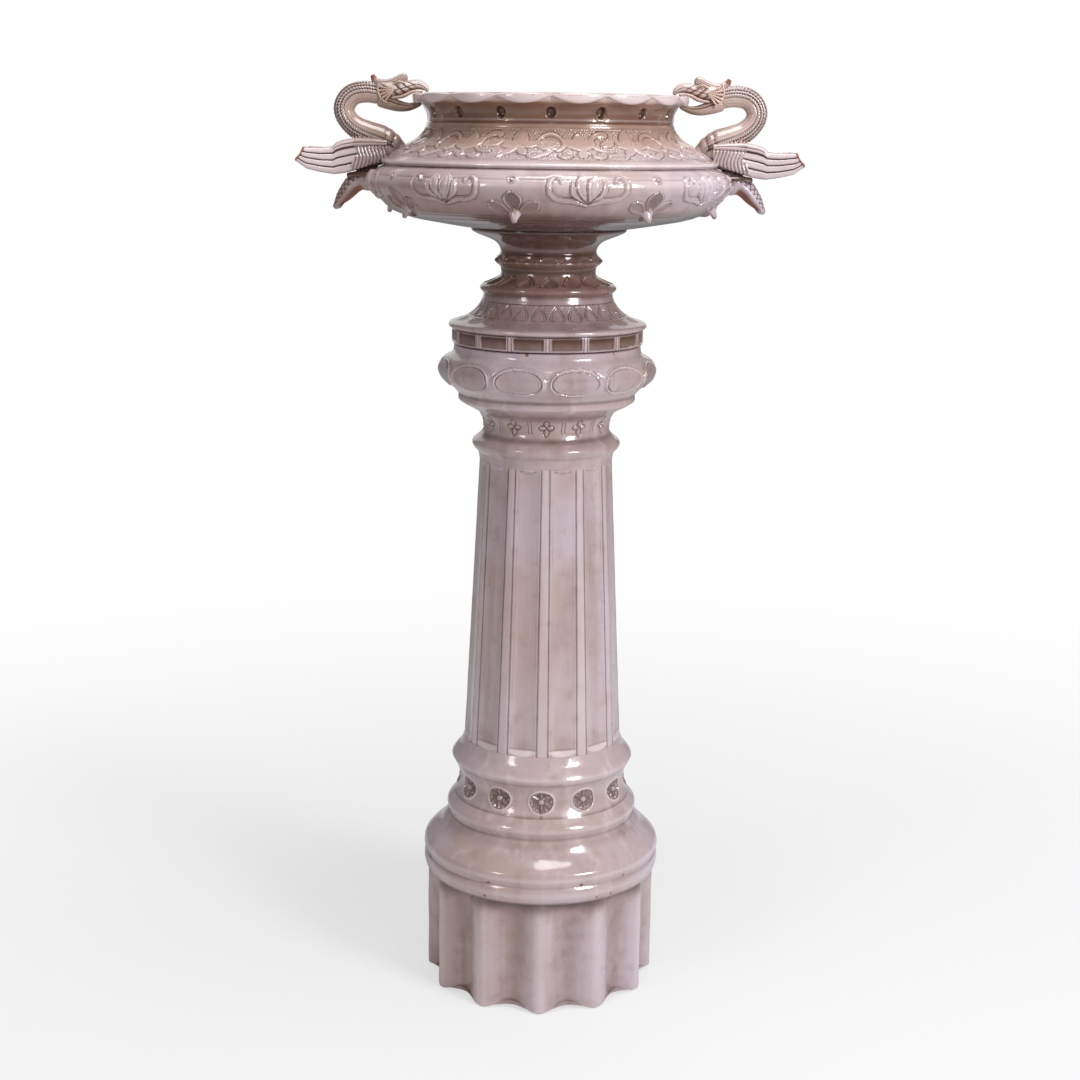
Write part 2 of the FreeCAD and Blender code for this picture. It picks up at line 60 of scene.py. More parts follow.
# %% Read the levels
PLINTH_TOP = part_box("plinth")[1][2] / MM
CAPITAL_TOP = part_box("column")[1][2] / MM
FOOT_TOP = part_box("bowl_foot")[1][2] / MM
RIM_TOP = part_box("bowl")[1][2] / MM
PLINTH_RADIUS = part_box("plinth")[1][0] / MM
SHAFT_FOOT = PLINTH_TOP + 217
SHAFT_HEAD = CAPITAL_TOP - 192
print(f"levels in mm: {PLINTH_TOP:.0f}, {SHAFT_FOOT:.0f}, {SHAFT_HEAD:.0f}, {CAPITAL_TOP:.0f},"
      f" {FOOT_TOP:.0f}, {RIM_TOP:.0f}")

# %% [markdown]
# ## Curves and grids
# Thrown and pressed clay has soft curves between crisp corners. A *stroke* is one smooth curve
# through a few points, and corners are where two strokes meet. A whole surface is then a grid:
# rows follow the outline and columns go round the axis, all worked out as arrays at once.


# %% Smooth strokes
def smooth_way(points, samples):
    """A Catmull-Rom curve: between two points it is the cubic whose slope at each point is half
    the way from the point before to the point after."""
    padded = np.vstack([2 * points[0] - points[1], points, 2 * points[-1] - points[-2]])
    a, b, c, d = padded[:-3], padded[1:-2], padded[2:-1], padded[3:]
    t = np.linspace(0, 1, samples, endpoint=False)[:, None, None]
    curve = 0.5 * (2 * b + (c - a) * t + (2 * a - 5 * b + 4 * c - d) * t**2
                   + (3 * b - a - 3 * c + d) * t**3)
    return np.vstack([curve.transpose(1, 0, 2).reshape(-1, points.shape[1]), points[-1]])


def stroke(*points, lift=0.0):
    """One smooth line of an outline through (radius, height) points, raised by the lift."""
    return smooth_way(np.asarray(points, float) + (0.0, lift), 16)


def strokes(lift, *lines):
    """A stroke for each list of points, all raised by the same lift."""
    return [stroke(*line, lift=lift) for line in lines]


def even_steps(points, step):
    """The same polyline with points at even distances along it, ends kept."""
    points = np.asarray(points, float)
    way = np.concatenate([[0], np.cumsum(np.linalg.norm(np.diff(points, axis=0), axis=1))])
    count = max(int(round(way[-1] / step)), 1)
    at = np.linspace(0, way[-1], count + 1)
    return np.stack([np.interp(at, way, column) for column in points.T], axis=1)


def outline(lines, step):
    """Strokes joined corner to corner, each at even steps."""
    pieces = [even_steps(line, step) for line in lines]
    return np.vstack([pieces[0], *[piece[1:] for piece in pieces[1:]]])


print("a stroke of three points has", len(stroke((0, 0), (1, 1), (0, 2))), "samples")


# %% Ease and wander
def ease(low, high, value):
    """Smoothstep: 0 below low, 1 above high, and 3t^2 - 2t^3 between."""
    t = np.clip((value - low) / (high - low), 0, 1)
    return t * t * (3 - 2 * t)


def bump(distance, width):
    """1 at distance 0, falling smoothly to 0 at the width."""
    return 1 - ease(0, width, np.abs(distance))


def wander(angle, way, seed, turns=(2, 9), reach=70):
    """The slow unevenness of handwork, from -1 to 1: a sum of sines that close round the axis."""
    rng = np.random.default_rng(seed)
    total = 0
    for _ in range(6):
        around = rng.integers(*turns)
        along = rng.uniform(0.3, 1.2) * 2 * np.pi / reach
        total = total + np.sin(around * angle + along * way + rng.uniform(0, 2 * np.pi))
    return total / 6


print("ease", ease(0, 1, np.array([0.0, 0.5, 1.0])))

# %% [markdown]
# ## A turned piece
# `Turned` keeps the plain outline and what is done to it. `swell` moves the surface out or in,
# square to the outline, and `drop` lowers it. The marks are numbers on each vertex that the glaze
# reads later: `recess` where glaze pools dark in grooves and where shade is painted into hollows
# and under overhangs, `bare` where red clay shows, `warm` where it is browner, in places as
# painted shade under the bowl and on its left side, `punched` where the ground is stippled with a
# point, and `pale` where it is lighter, mostly as painted highlight on crests, rims and ridges.


# %% Turned surfaces
MARKS = ("recess", "bare", "warm", "punched", "pale")


class Turned:
    """A surface of revolution as arrays: angles run along a row, the outline down a column."""

    def __init__(self, outer, columns, inner=()):
        self.outer_rows = len(outer)
        loop = np.vstack([outer, inner]) if len(inner) else np.asarray(outer)
        self.closed = len(inner) > 0
        self.radius = loop[:, :1].copy()
        self.height = loop[:, 1:].copy()
        steps = np.linalg.norm(np.diff(loop, axis=0), axis=1)
        self.way = np.concatenate([[0], np.cumsum(steps)])[:, None]
        self.angle = (2 * np.pi * np.arange(columns) / columns)[None, :]
        along = np.gradient(np.asarray(outer, float), axis=0)
        along /= np.maximum(np.linalg.norm(along, axis=1, keepdims=True), 1e-9)
        self.square = np.zeros((len(loop), 2))
        self.square[: len(outer)] = np.stack([along[:, 1], -along[:, 0]], axis=1)
        shape = (len(loop), columns)
        self.swell = np.zeros(shape)
        self.drop = np.zeros(shape)
        self.face = (np.arange(len(loop)) < len(outer))[:, None].astype(float)
        self.length = float(self.way[len(outer) - 1, 0])
        self.marks = {name: np.zeros(shape) for name in MARKS}

    def across(self, count, phase=0.0):
        """Millimetres round the piece from the nearest of count evenly spaced places."""
        pitch = 2 * np.pi / count
        turned = self.angle - math.radians(phase)
        return (turned - pitch * np.round(turned / pitch)) * self.radius

    def way_at(self, height):
        """The distance up the outer outline at which it passes a height."""
        heights = self.height[: self.outer_rows, 0]
        order = np.argsort(heights, kind="stable")
        return float(np.interp(height, heights[order], self.way[: self.outer_rows, 0][order]))

    def press(self, amount):
        """Moves the outer surface by an amount, with none at the edges shared with neighbours."""
        edge = ease(0, 1.6, self.way) * ease(0, 1.6, self.length - self.way)
        self.swell = self.swell + amount * edge * self.face

    def mark(self, name, amount):
        """Raises a mark to the amount wherever that is more."""
        self.marks[name] = np.maximum(self.marks[name], np.clip(amount, 0, 1) * self.face)

    def points(self):
        """The grid of points, moved square to the outline by the swell and down by the drop."""
        out = self.radius + self.square[:, :1] * self.swell
        up = self.height + self.square[:, 1:] * self.swell - self.drop
        return np.stack([out * np.cos(self.angle), out * np.sin(self.angle),
                         np.broadcast_to(up, out.shape)], axis=2)


print("marks on each vertex:", ", ".join(MARKS))


# %% Meshes from grids
def grid_faces(rows, columns, close_rows):
    """Four corners per face, in the order that turns a surface with upward rows outward. The
    columns always close round the axis."""
    r = np.arange(rows if close_rows else rows - 1)[:, None]
    c = np.arange(columns)[None, :]
    above = (r + 1) % rows
    beside = (c + 1) % columns
    return np.stack(np.broadcast_arrays(
        r * columns + c, r * columns + beside, above * columns + beside, above * columns + c,
    ), axis=-1).reshape(-1, 4)


def end_fan(row, centre, flip):
    """Triangles from one row of vertices to a centre vertex."""
    following = np.roll(row, -1)
    return np.stack([following, row, np.full_like(row, centre)] if flip
                    else [row, following, np.full_like(row, centre)], axis=1)


def write_mesh(name, points, quads, triangles=None, marks=None, crease=40):
    """One mesh object from arrays in millimetres, smooth except at corners over the crease."""
    triangles = np.zeros((0, 3), int) if triangles is None else triangles
    mesh = bpy.data.meshes.new(name)
    mesh.vertices.add(len(points))
    mesh.vertices.foreach_set("co", (points * MM).astype(np.float32).ravel())
    mesh.loops.add(4 * len(quads) + 3 * len(triangles))
    mesh.loops.foreach_set("vertex_index", np.concatenate(
        [quads.ravel(), triangles.ravel()]).astype(np.int32))
    mesh.polygons.add(len(quads) + len(triangles))
    mesh.polygons.foreach_set("loop_start", np.concatenate(
        [4 * np.arange(len(quads)), 4 * len(quads) + 3 * np.arange(len(triangles))]
    ).astype(np.int32))
    for mark, values in (marks or {}).items():
        layer = mesh.attributes.new(mark, "FLOAT", "POINT")
        layer.data.foreach_set("value", values.astype(np.float32).ravel())
    mesh.update(calc_edges=True)
    mesh.validate()
    mesh.shade_smooth()
    mesh.set_sharp_from_angle(angle=math.radians(crease))
    piece = bpy.data.objects.new(name, mesh)
    scene.collection.objects.link(piece)
    return piece


print("faces of a ring of two rows and eight columns:", len(grid_faces(2, 8, False)))

# %% Put a piece on its body
MADE = {}


def place(piece, body, *nodes):
    """Hangs a finished piece on its body and lets it stand for CAD nodes."""
    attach(piece, body)
    if nodes:
        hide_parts(*nodes)
    MADE[piece.name] = piece
    print(f"{piece.name}: {len(piece.data.polygons)} faces on {body}")
    return piece


def finish_turned(name, clay, body, *nodes, crease=40):
    """The mesh of a turned piece: its outline is a closed loop, or it is open and gets a fan of
    triangles at each end."""
    points = clay.points()
    rows, columns = points.shape[:2]
    quads = grid_faces(rows, columns, close_rows=clay.closed)
    marks, triangles = clay.marks, None
    flat = points.reshape(-1, 3)
    if not clay.closed:
        first, last = np.arange(columns), (rows - 1) * columns + np.arange(columns)
        low, high = len(flat), len(flat) + 1
        flat = np.vstack([flat, points[0].mean(0), points[-1].mean(0)])
        triangles = np.vstack([end_fan(first, low, True), end_fan(last, high, False)])
        marks = {mark: np.append(values.ravel(), [0, 0]) for mark, values in marks.items()}
    return place(write_mesh(name, flat, quads, triangles, marks, crease), body, *nodes)


# %% [markdown]
# ## Motifs
# Every ornament is a height over a flat drawing: `u` runs round the piece and `v` up it, in
# millimetres from the motif's centre. Leaves, petals and scrolls are all built from the distance
# to a path, so that one formula gives a rounded ribbon, a groove or a rim.


# %% Distances in the flat drawing
def path_distance(u, v, path):
    """The distance to a polyline, and how far along it (0 to 1) the nearest place lies."""
    path = np.asarray(path, float)
    lengths = np.linalg.norm(np.diff(path, axis=0), axis=1)
    total = lengths.sum()
    nearest = np.full(np.broadcast(u, v).shape, 1e9)
    share = np.zeros_like(nearest)
    walked = 0.0
    for (x0, y0), (x1, y1), length in zip(path[:-1], path[1:], lengths):
        dx, dy = x1 - x0, y1 - y0
        t = np.clip(((u - x0) * dx + (v - y0) * dy) / max(length * length, 1e-9), 0, 1)
        distance = np.hypot(u - x0 - t * dx, v - y0 - t * dy)
        closer = distance < nearest
        nearest = np.where(closer, distance, nearest)
        share = np.where(closer, (walked + t * length) / total, share)
        walked += length
    return nearest, share


def spiral(x, y, start, turn, first, last, samples=14):
    """Points on a curl about (x, y) whose radius shrinks from first to last over a turn."""
    t = np.linspace(0, 1, samples)
    angle = np.radians(start + turn * t)
    radius = first + (last - first) * t
    return np.stack([x + radius * np.cos(angle), y + radius * np.sin(angle)], axis=1)


def leaf(u, v, x, y, direction, length, width, full=1.0, lean=1.0):
    """Millimetres inside a leaf that starts at (x, y), below 0 outside it. Its half width is
    sin(pi t) raised to `full`; `lean` above 1 moves the widest place towards the tip."""
    a = math.radians(direction)
    along = ((u - x) * math.cos(a) + (v - y) * math.sin(a)) / length
    beside = np.abs(-(u - x) * math.sin(a) + (v - y) * math.cos(a))
    half = width / 2 * np.sin(np.pi * np.clip(along, 0, 1) ** lean) ** full
    past = np.maximum(np.maximum(-along, along - 1), 0) * length
    return half - np.hypot(beside, past) - (past > 0) * 0.2


def ribbon(u, v, path, wide, thin=None):
    """Millimetres inside a rounded ribbon along a path, its half width going from wide to
    thin."""
    distance, share = path_distance(u, v, path)
    return wide + ((wide if thin is None else thin) - wide) * share - distance


def outlined(inside, height, groove):
    """The height of a raised flat shape with a line drawn round it."""
    return height * ease(-0.2, 1.6, inside) - groove * bump(inside + 1.0, 1.3)


def dots(angle, way, radius, pitch):
    """Staggered rows of round punch marks, 1 in each middle: the nearest cell middle is found
    by rounding, with a slow wander so that the rows look set by hand."""
    wobble = 0.25
    cells = 2 * round(np.pi * radius / pitch)
    x = angle / (2 * np.pi) * cells + wobble * wander(angle, way, 71, (5, 40), 22)
    y = way / (0.87 * pitch) + wobble * wander(angle, way, 72, (5, 40), 22)
    row = np.floor(y)
    across = (np.mod(x + 0.5 * np.mod(row, 2), 1) - 0.5) * pitch
    up = (np.mod(y, 1) - 0.5) * pitch * 0.87
    return bump(np.hypot(across, up), 0.46 * pitch)


print("distance", path_distance(np.array(1.0), np.array(1.0), [(0, 0), (2, 0)])[0])

# %% [markdown]
# ## The plinth
# The lowest section is a drum cut with twelve wide hollows that meet in sharp upright edges. On
# the real stand it was pressed in a mould, so the hollows are all alike, and only the foot edge
# is worn. A cosine raised to a power gives a hollow with a flat floor and a crisp edge.

# %% Model the plinth
PANELS = 12
HALF_PANEL = 180 / PANELS
COVE_DEPTH = 18
PLINTH_BORE = 148


def coves(angle):
    """How far the hollows cut in, 0 on an edge and 1 in the middle: a raised cosine of the
    angle from the nearest middle."""
    pitch = 2 * np.pi / PANELS
    share = np.mod(angle, pitch) / pitch * 2 - 1
    return (0.5 + 0.5 * np.cos(np.pi * share)) ** 0.9


drum = outline([stroke((PLINTH_RADIUS - 3, 0), (PLINTH_RADIUS - 0.6, 1.5), (PLINTH_RADIUS, 5)),
                [(PLINTH_RADIUS, 5), (PLINTH_RADIUS, PLINTH_TOP)]], 4)
clay = Turned(drum, columns=600, inner=[(PLINTH_BORE, PLINTH_TOP), (PLINTH_BORE, 0)])
clay.swell += clay.face * (0.6 * wander(clay.angle, clay.way, 3) - COVE_DEPTH
                           * coves(clay.angle))
clay.mark("bare", 0.3 * bump(clay.across(PANELS), 5) * (1 - ease(0, 40, clay.height)))
# Darker towards the top: painted shade under the flange's overhang.
clay.mark("recess", ease(PLINTH_TOP - 34, PLINTH_TOP, clay.height) * 0.75)
# Darker and browner in the hollows as painted shade, paler along the upright edges as painted
# highlight.
clay.mark("recess", 0.26 * coves(clay.angle))
clay.mark("warm", 0.46 * coves(clay.angle))
clay.mark("pale", 0.5 * (1 - ease(0.0, 0.3, coves(clay.angle))))
# Browner towards the top: painted shade under the flange's overhang.
clay.mark("warm", 0.5 * ease(PLINTH_TOP - 60, PLINTH_TOP, clay.height))
finish_turned("fluted_plinth", clay, "stand", "plinth")

# %% [markdown]
# ## The base mouldings
# Above the plinth the column spreads into a flange of two rounded beads, a sloping shoulder and
# a torus. A potter would turn these on the wheel against a template, and the outline below is
# that template, one stroke for each moulding.

# %% Draw the base mouldings
FLANGE = strokes(
    PLINTH_TOP,
    [(187.5, 0), (190, 6), (191.7, 16), (190.6, 23), (188.3, 27)],
    [(188.3, 27), (190.3, 33), (191.6, 40), (189.5, 48), (186.2, 52)],
    [(186.2, 52), (180.4, 58), (167.2, 70), (158.3, 82), (150.5, 92)],
    [(150.5, 92), (151.5, 96), (154.3, 106), (152.5, 112), (147.6, 118), (142.9, 124)],
)
ROSETTE_BAND = strokes(
    PLINTH_TOP,
    [(142.9, 124), (135.9, 136), (131.5, 149), (131.6, 157), (134.7, 166), (141.5, 178)],
    [(141.5, 178), (146.1, 187), (145.3, 190), (141.3, 196), (136.3, 202), (132.2, 208),
     (127.2, 220)],
)
COLUMN_WALL = 6


def back_wall(outer, wall, count=10):
    """A plain inner wall from the top down, clear of the outer surface by the wall all along."""
    rows = np.linspace(len(outer) - 1, 0, count).round().astype(int)
    reach = max(len(outer) // count, 2)
    return [(outer[max(row - reach, 0): row + reach + 1, 0].min() - wall, outer[row, 1])
            for row in rows]


def chips(clay, count, height, size, seed):
    """Small flakes knocked off round a level, where the red clay shows."""
    rng = np.random.default_rng(seed)
    for _ in range(count):
        at = rng.uniform(0, 2 * np.pi)
        off = (clay.angle - at + np.pi) % (2 * np.pi) - np.pi
        wide, tall = rng.uniform(0.5, 1.3, 2) * size
        hit = np.hypot(off * clay.radius / wide,
                       (clay.height - height - rng.normal(0, size / 3)) / tall)
        clay.press(-0.5 * size / 3 * (1 - ease(0.4, 1, hit)))
        clay.mark("bare", 1 - ease(0.5, 1.0, hit))


print("strokes in the base mouldings:", len(FLANGE) + len(ROSETTE_BAND))

# %% Model the flange
FLANGE_SHADED_GROOVES = ((27, 0.22), (92, 0.4))
FLANGE_CRESTS = (14, 40, 106)
outer = outline(FLANGE, step=2.0)
clay = Turned(outer, columns=520, inner=back_wall(outer, COLUMN_WALL))
level = clay.height - PLINTH_TOP
clay.press(0.5 * wander(clay.angle, clay.way, 11))
# Painted shade in the groove between the beads and where the shoulder meets the torus.
for groove_level, dark in FLANGE_SHADED_GROOVES:
    clay.mark("recess", bump(level - groove_level, 7) * dark)
# Darker at the flange's foot: painted shade where it overhangs the plinth.
clay.mark("recess", 0.7 * (1 - ease(0, 7, level)))
# Paler on the crests of the two beads and the torus: painted highlight.
for crest in FLANGE_CRESTS:
    clay.mark("pale", 0.5 * bump(level - crest, 10))
# Darker in the hollow under the torus: painted shade.
clay.mark("recess", 0.3 * bump(level - 84, 14))
chips(clay, 9, PLINTH_TOP + 30, 4.0, 5)
chips(clay, 6, PLINTH_TOP + 5, 3.5, 6)
finish_turned("flange", clay, "stand", "column", crease=30)

# %% [markdown]
# ## The rosettes
# Twelve rosettes sit in the hollow moulding over the plinth's edges. Each was a stamped pad: a
# ring, six scooped petals that part round a button, and red clay left bare in the scoops.

# %% Shape a rosette
ROSETTE_LEVEL = PLINTH_TOP + 149
ROSETTE_RADIUS = 20.5


def rosette(u, v):
    """The height of a rosette, and how deep each place lies in its scoops. Six petals are the
    sectors of a circle; each is cut by its distance from the sector's edges."""
    distance = np.hypot(u, v * 1.04)
    turn = np.mod(np.arctan2(v, u) - np.pi / 2, np.pi / 3)
    from_edge = distance * np.sin(np.minimum(turn, np.pi / 3 - turn))
    from_middle = distance * np.abs(np.sin(turn - np.pi / 6))
    heart = distance + 2.4 * bump(from_middle, 3.2)
    scoop = ease(0.5, 2.8, from_edge) * ease(5.2, 7.4, distance) * (1 - ease(15, 18, heart))
    open_below = 1 - 0.7 * bump(u, 9) * (v < 0)
    ring = bump(distance - ROSETTE_RADIUS, 3.0) * open_below
    button = np.sqrt(np.clip(1 - (distance / 4.8) ** 2, 0, 1))
    rib = bump(from_middle, 1.3) * scoop
    ground = (1 - ease(ROSETTE_RADIUS - 2, ROSETTE_RADIUS + 1, distance))
    lift = 1.7 * ring + 1.0 * ground - 3.6 * scoop + 1.5 * rib + 3.0 * button
    lift -= 1.4 * bump(distance - 5.6, 1.3) + 1.0 * bump(distance - 17.6, 1.2) * open_below
    dark = np.maximum(scoop * 0.55, 0.9 * bump(distance - 5.8, 1.7))
    dark = np.maximum(dark, 0.8 * bump(from_edge - 0.9, 1.1) * (distance > 5) * (distance < 18))
    dark = np.maximum(dark, bump(distance - 17.8, 1.5) * 0.8)
    return lift, dark, scoop * (distance < 18)


print("a rosette's button stands", rosette(np.array(0.0), np.array(0.0))[0].round(1), "mm high")

# %% Model the rosette band
outer = outline(ROSETTE_BAND, step=1.15)
clay = Turned(outer, columns=720, inner=back_wall(outer, COLUMN_WALL))
level = clay.height - PLINTH_TOP
u = clay.across(PANELS)
v = clay.way - clay.way_at(ROSETTE_LEVEL)
lift, dark, scoop = rosette(u, v)
distance_from = np.hypot(u, v) - ROSETTE_RADIUS
clay.press(0.3 * wander(clay.angle, clay.way, 12) + lift)
clay.mark("recess", dark)
clay.mark("bare", 0.36 * bump(v - 6, 14) * scoop)
# Darker where the hollow moulding begins: painted shade.
clay.mark("recess", 0.5 * bump(level - 124, 8))
# Paler on the bead's crest and round each rosette's ring: painted highlight.
clay.mark("pale", 0.55 * bump(level - 187, 11) + 0.75 * bump(distance_from, 3))
# Darker under the bead: painted shade.
clay.mark("recess", 0.35 * bump(level - 178, 6))
clay.mark("warm", 0.7 * bump(clay.across(1, -90), 5) * (v < -12) * (v > -60))
finish_turned("rosette_band", clay, "stand")

# %% [markdown]
# ## The shaft
# The shaft tapers upward. Twelve flat bands run up it between twelve shallow cut facets, and
# fine lines are drawn with a point along each side of every band. Each facet starts on a curved
# sill, so the grid's rows lie closer together there.

# %% Lay out the shaft
FACET_HEAD = SHAFT_HEAD + 9
FACET_DEPTH = 4.6
BAND_HALF = 9
BAND_TAPER = 2.5
SILL_TALL = 14
sill = (125.0, SHAFT_FOOT + 28)
shaft = np.vstack([even_steps([(126.4, SHAFT_FOOT), sill], 1.3)[:-1],
                   even_steps([sill, (104.2, FACET_HEAD)], 3.3)])
clay = Turned(shaft, columns=560, inner=[(90, FACET_HEAD), (108, SHAFT_FOOT)])
level = clay.height - SHAFT_FOOT
rise = level / (SHAFT_HEAD - SHAFT_FOOT)
beside = np.abs(clay.across(PANELS))
band_half = BAND_HALF - BAND_TAPER * rise
facet_half = np.pi * clay.radius / PANELS - band_half
in_facet = np.clip((beside - band_half) / facet_half, 0, 1)
sill_low = 1.5 + 8 * (1 - in_facet) ** 2
foot_arch = np.clip((level - sill_low) / (SILL_TALL - sill_low), 0, 1)
head_arch = ease(2, 5, FACET_HEAD - clay.height - 4 * (1 - (1 - in_facet) ** 2) + 3)
hollow = (1 - (1 - in_facet) ** 2) * foot_arch * head_arch
print(f"bands {2 * band_half[0, 0]:.0f} mm wide below, {2 * band_half.min():.1f} mm above")

# %% Model the shaft
broken = 0.5 + 0.5 * wander(clay.angle, clay.way, 22, (3, 20), 60)
clay.press(-FACET_DEPTH * hollow - 1.1 * bump(beside - band_half, 1.9)
           - 0.4 * bump(beside - band_half - 5, 1.5) * broken
           + 0.35 * wander(clay.angle, clay.way, 21))
clay.mark("recess", 0.75 * bump(beside - band_half, 2.3))
clay.mark("recess", 0.5 * bump(beside - band_half - 5, 1.7) * broken)
clay.mark("recess", 0.5 * (1 - ease(0, 5, level)))
# Darker along the facets' heads: painted shade under the cut edge.
clay.mark("recess", 0.6 * bump(head_arch - 0.5, 0.5) * (in_facet > 0))
clay.mark("recess", 0.4 * bump(level - 15, 2.4) * (in_facet > 0.05))
clay.mark("warm", 0.4 * bump(level - 20, 40) * hollow)
clay.mark("warm", 0.22 * hollow)
# Paler on the bands and on the upward sills: painted highlight.
clay.mark("pale", 0.45 * (beside < band_half - 2) + ease(0, 0.25, foot_arch)
          * (1 - ease(0.75, 1, foot_arch)) * ease(0, 0.12, in_facet))
clay.mark("bare", 0.42 * bump(FACET_HEAD - 3 - clay.height, 5) * (in_facet > 0.2))
finish_turned("banded_shaft", clay, "stand")

# %% [markdown]
# ## The capital
# The shaft ends in a cushion, a waisted neck with a row of small crosses, and a wide bulb with
# twelve oval bosses and a low flat rim, on which the bowl's foot stands.

# %% Draw the capital
CAPITAL_NECK = strokes(
    SHAFT_HEAD,
    [(104.3, 9), (104.7, 13), (107.2, 23), (112.5, 29), (116, 36), (113.6, 42), (106, 48),
     (100.5, 54)],
    [(100.5, 54), (98, 61), (98, 69), (100, 76), (103, 82), (108, 87.5), (117, 93), (129, 99)],
)
CAPITAL_BULB = strokes(
    SHAFT_HEAD,
    [(129, 99), (136.6, 104), (138.2, 108), (137.6, 115)],
    [(137.6, 115), (146, 124), (157, 133), (165, 141), (168.4, 151), (166.4, 160), (159.5, 169),
     (150.5, 176), (146, 180)],
) + [[(145.3, SHAFT_HEAD + 183), (145.3, SHAFT_HEAD + 190.5), (139, CAPITAL_TOP)]]


def small_cross(u, v):
    """Millimetres inside four short leaves that meet in the middle."""
    arms = [leaf(u, v, 1.2 * math.cos(math.radians(a)), 1.2 * math.sin(math.radians(a)), a,
                 reach, 6.4, 0.7) for a, reach in ((0, 10), (90, 12), (180, 10), (270, 12))]
    return np.maximum.reduce(arms)


print("strokes in the capital:", len(CAPITAL_NECK) + len(CAPITAL_BULB))

# %% Model the capital's neck
outer = outline(CAPITAL_NECK, step=1.25)
clay = Turned(outer, columns=640, inner=back_wall(outer, COLUMN_WALL))
level = clay.height - SHAFT_HEAD
v = clay.way - clay.way_at(SHAFT_HEAD + 73)
cross = small_cross(clay.across(PANELS), v)
bars = np.abs(np.abs(clay.across(PANELS, HALF_PANEL)) - 2.6)
bar_reach = 1 - ease(9, 12, np.abs(v))
clay.press(0.3 * wander(clay.angle, clay.way, 31) + outlined(cross, 1.5, 1.3)
           - 1.0 * bump(bars, 1.3) * bar_reach)
clay.mark("recess", 0.9 * bump(cross + 1.0, 1.6))
clay.mark("recess", 0.7 * bump(bars, 1.4) * bar_reach)
clay.mark("recess", 0.55 * bump(level - 52, 9))
clay.mark("recess", 0.5 * bump(level - 90, 12))
clay.mark("warm", 0.3)
finish_turned("capital_neck", clay, "stand")


# %% Shape the capital's bosses
BOSS_LEVEL = SHAFT_HEAD + 149
BOSS_HALF_WIDE = 35.5
BOSS_HALF_TALL = 19.5


def oval_bosses(clay):
    """Flat worn ovals on the bulb: each face is lifted towards its ends by as much as the bulb
    curves away there, u^2 / 2R round it and v^2 / 2r up it."""
    u = clay.across(PANELS, HALF_PANEL)
    v = clay.way - clay.way_at(BOSS_LEVEL)
    oval = np.hypot(u / BOSS_HALF_WIDE, v / BOSS_HALF_TALL)
    inside = (1 - oval) * np.hypot(u, v) / np.maximum(oval, 1e-3)
    inside = np.where(oval < 0.1, BOSS_HALF_TALL, inside)
    face = -2.2 + 0.92 * (u**2 / (2 * clay.radius) + v**2 / 92)
    within = ease(0, 1.4, inside)
    above = ease(-2, 10, v)
    arcs = sum(bump(inside + reach, 1.1) for reach in (5.5, 9.0))
    lift = face * within - 2.0 * bump(inside + 0.6, 1.6) - 1.0 * arcs * above
    lift += 2.0 * bump(inside + 2.8, 2.2) + 0.7 * bump(inside - 2.0, 1.6)
    lift -= 3.0 * (1 - ease(-10, -3, inside)) * bump(v, 26)
    return lift, inside, arcs * above


print(f"bosses {2 * BOSS_HALF_WIDE:.0f} by {2 * BOSS_HALF_TALL:.0f} mm")

# %% Model the capital's bulb
outer = outline(CAPITAL_BULB, step=1.35)
inner = [(123, CAPITAL_TOP), (123, SHAFT_HEAD + 135), (118, SHAFT_HEAD + 99)]
clay = Turned(outer, columns=760, inner=inner)
level = clay.height - SHAFT_HEAD
lift, inside, arcs = oval_bosses(clay)
clay.press(0.3 * wander(clay.angle, clay.way, 41) + lift)
clay.mark("recess", 0.5 * bump(inside + 0.4, 1.5))
# Paler on the bosses' rims and the bulb's upper slope: painted highlight.
clay.mark("pale", 0.9 * bump(inside + 2.6, 2.2) + 0.4 * bump(level - 172, 12))
clay.mark("recess", 0.6 * arcs)
clay.mark("recess", 0.28 * ease(0, 3, inside))
clay.mark("recess", 0.6 * bump(level - 116, 7))
clay.mark("recess", 0.6 * bump(level - 182, 3))
clay.mark("warm", 0.15 * ease(2, 9, inside))
stained = wander(clay.angle, clay.way, 43, (9, 40), 25) > 0
clay.mark("recess", 0.25 * ease(4, 12, inside) * stained)
chips(clay, 6, SHAFT_HEAD + 189, 3.0, 9)
finish_turned("capital_bulb", clay, "stand")

# %% [markdown]
# ## The bowl's foot
# The foot is a separate casting: a ring of sixteen brown panels, a bell with a drawn frieze, and
# two knops one above the other. It is painted darker than the stand, as painted shade under the
# wide bowl. The count of sixteen goes all the way up: panels, dotted clusters, drops, and the
# hollows of the bowl's neck.

# %% Draw the foot
FOOT_BELL = strokes(
    CAPITAL_TOP,
    [(147, 1.5), (148.3, 5), (148.3, 21), (147.6, 23.5)],
    [(149, 24.5), (152.4, 26.5), (153.3, 29), (152.3, 32), (149.5, 33.8)],
    [(149.5, 33.8), (134, 38.6), (121.8, 45), (111, 54), (104.5, 63), (100.8, 72), (99.5, 78)],
)
FOOT_KNOPS = strokes(
    CAPITAL_TOP,
    [(99.5, 78), (104.3, 83), (105.5, 86.5), (104, 89.5), (100, 92.5)],
    [(100, 92.5), (91.3, 96), (81, 100.5), (75, 105), (73.2, 111), (73.8, 117), (76, 120)],
    [(76, 120), (80.5, 123.5), (83.9, 128), (81, 132.5), (76.5, 136), (74, 141), (75, 147),
     (79.1, 153), (85, 157.5), (95.3, 162), (107, 166.5), (116, 170.8), (119.3, 173.5),
     (119.6, 176)],
)
LOBES = 16
HALF_LOBE = 180 / LOBES
LANCETS = 26
BAR_HALF = 5.2
print("strokes in the foot:", len(FOOT_BELL) + len(FOOT_KNOPS))

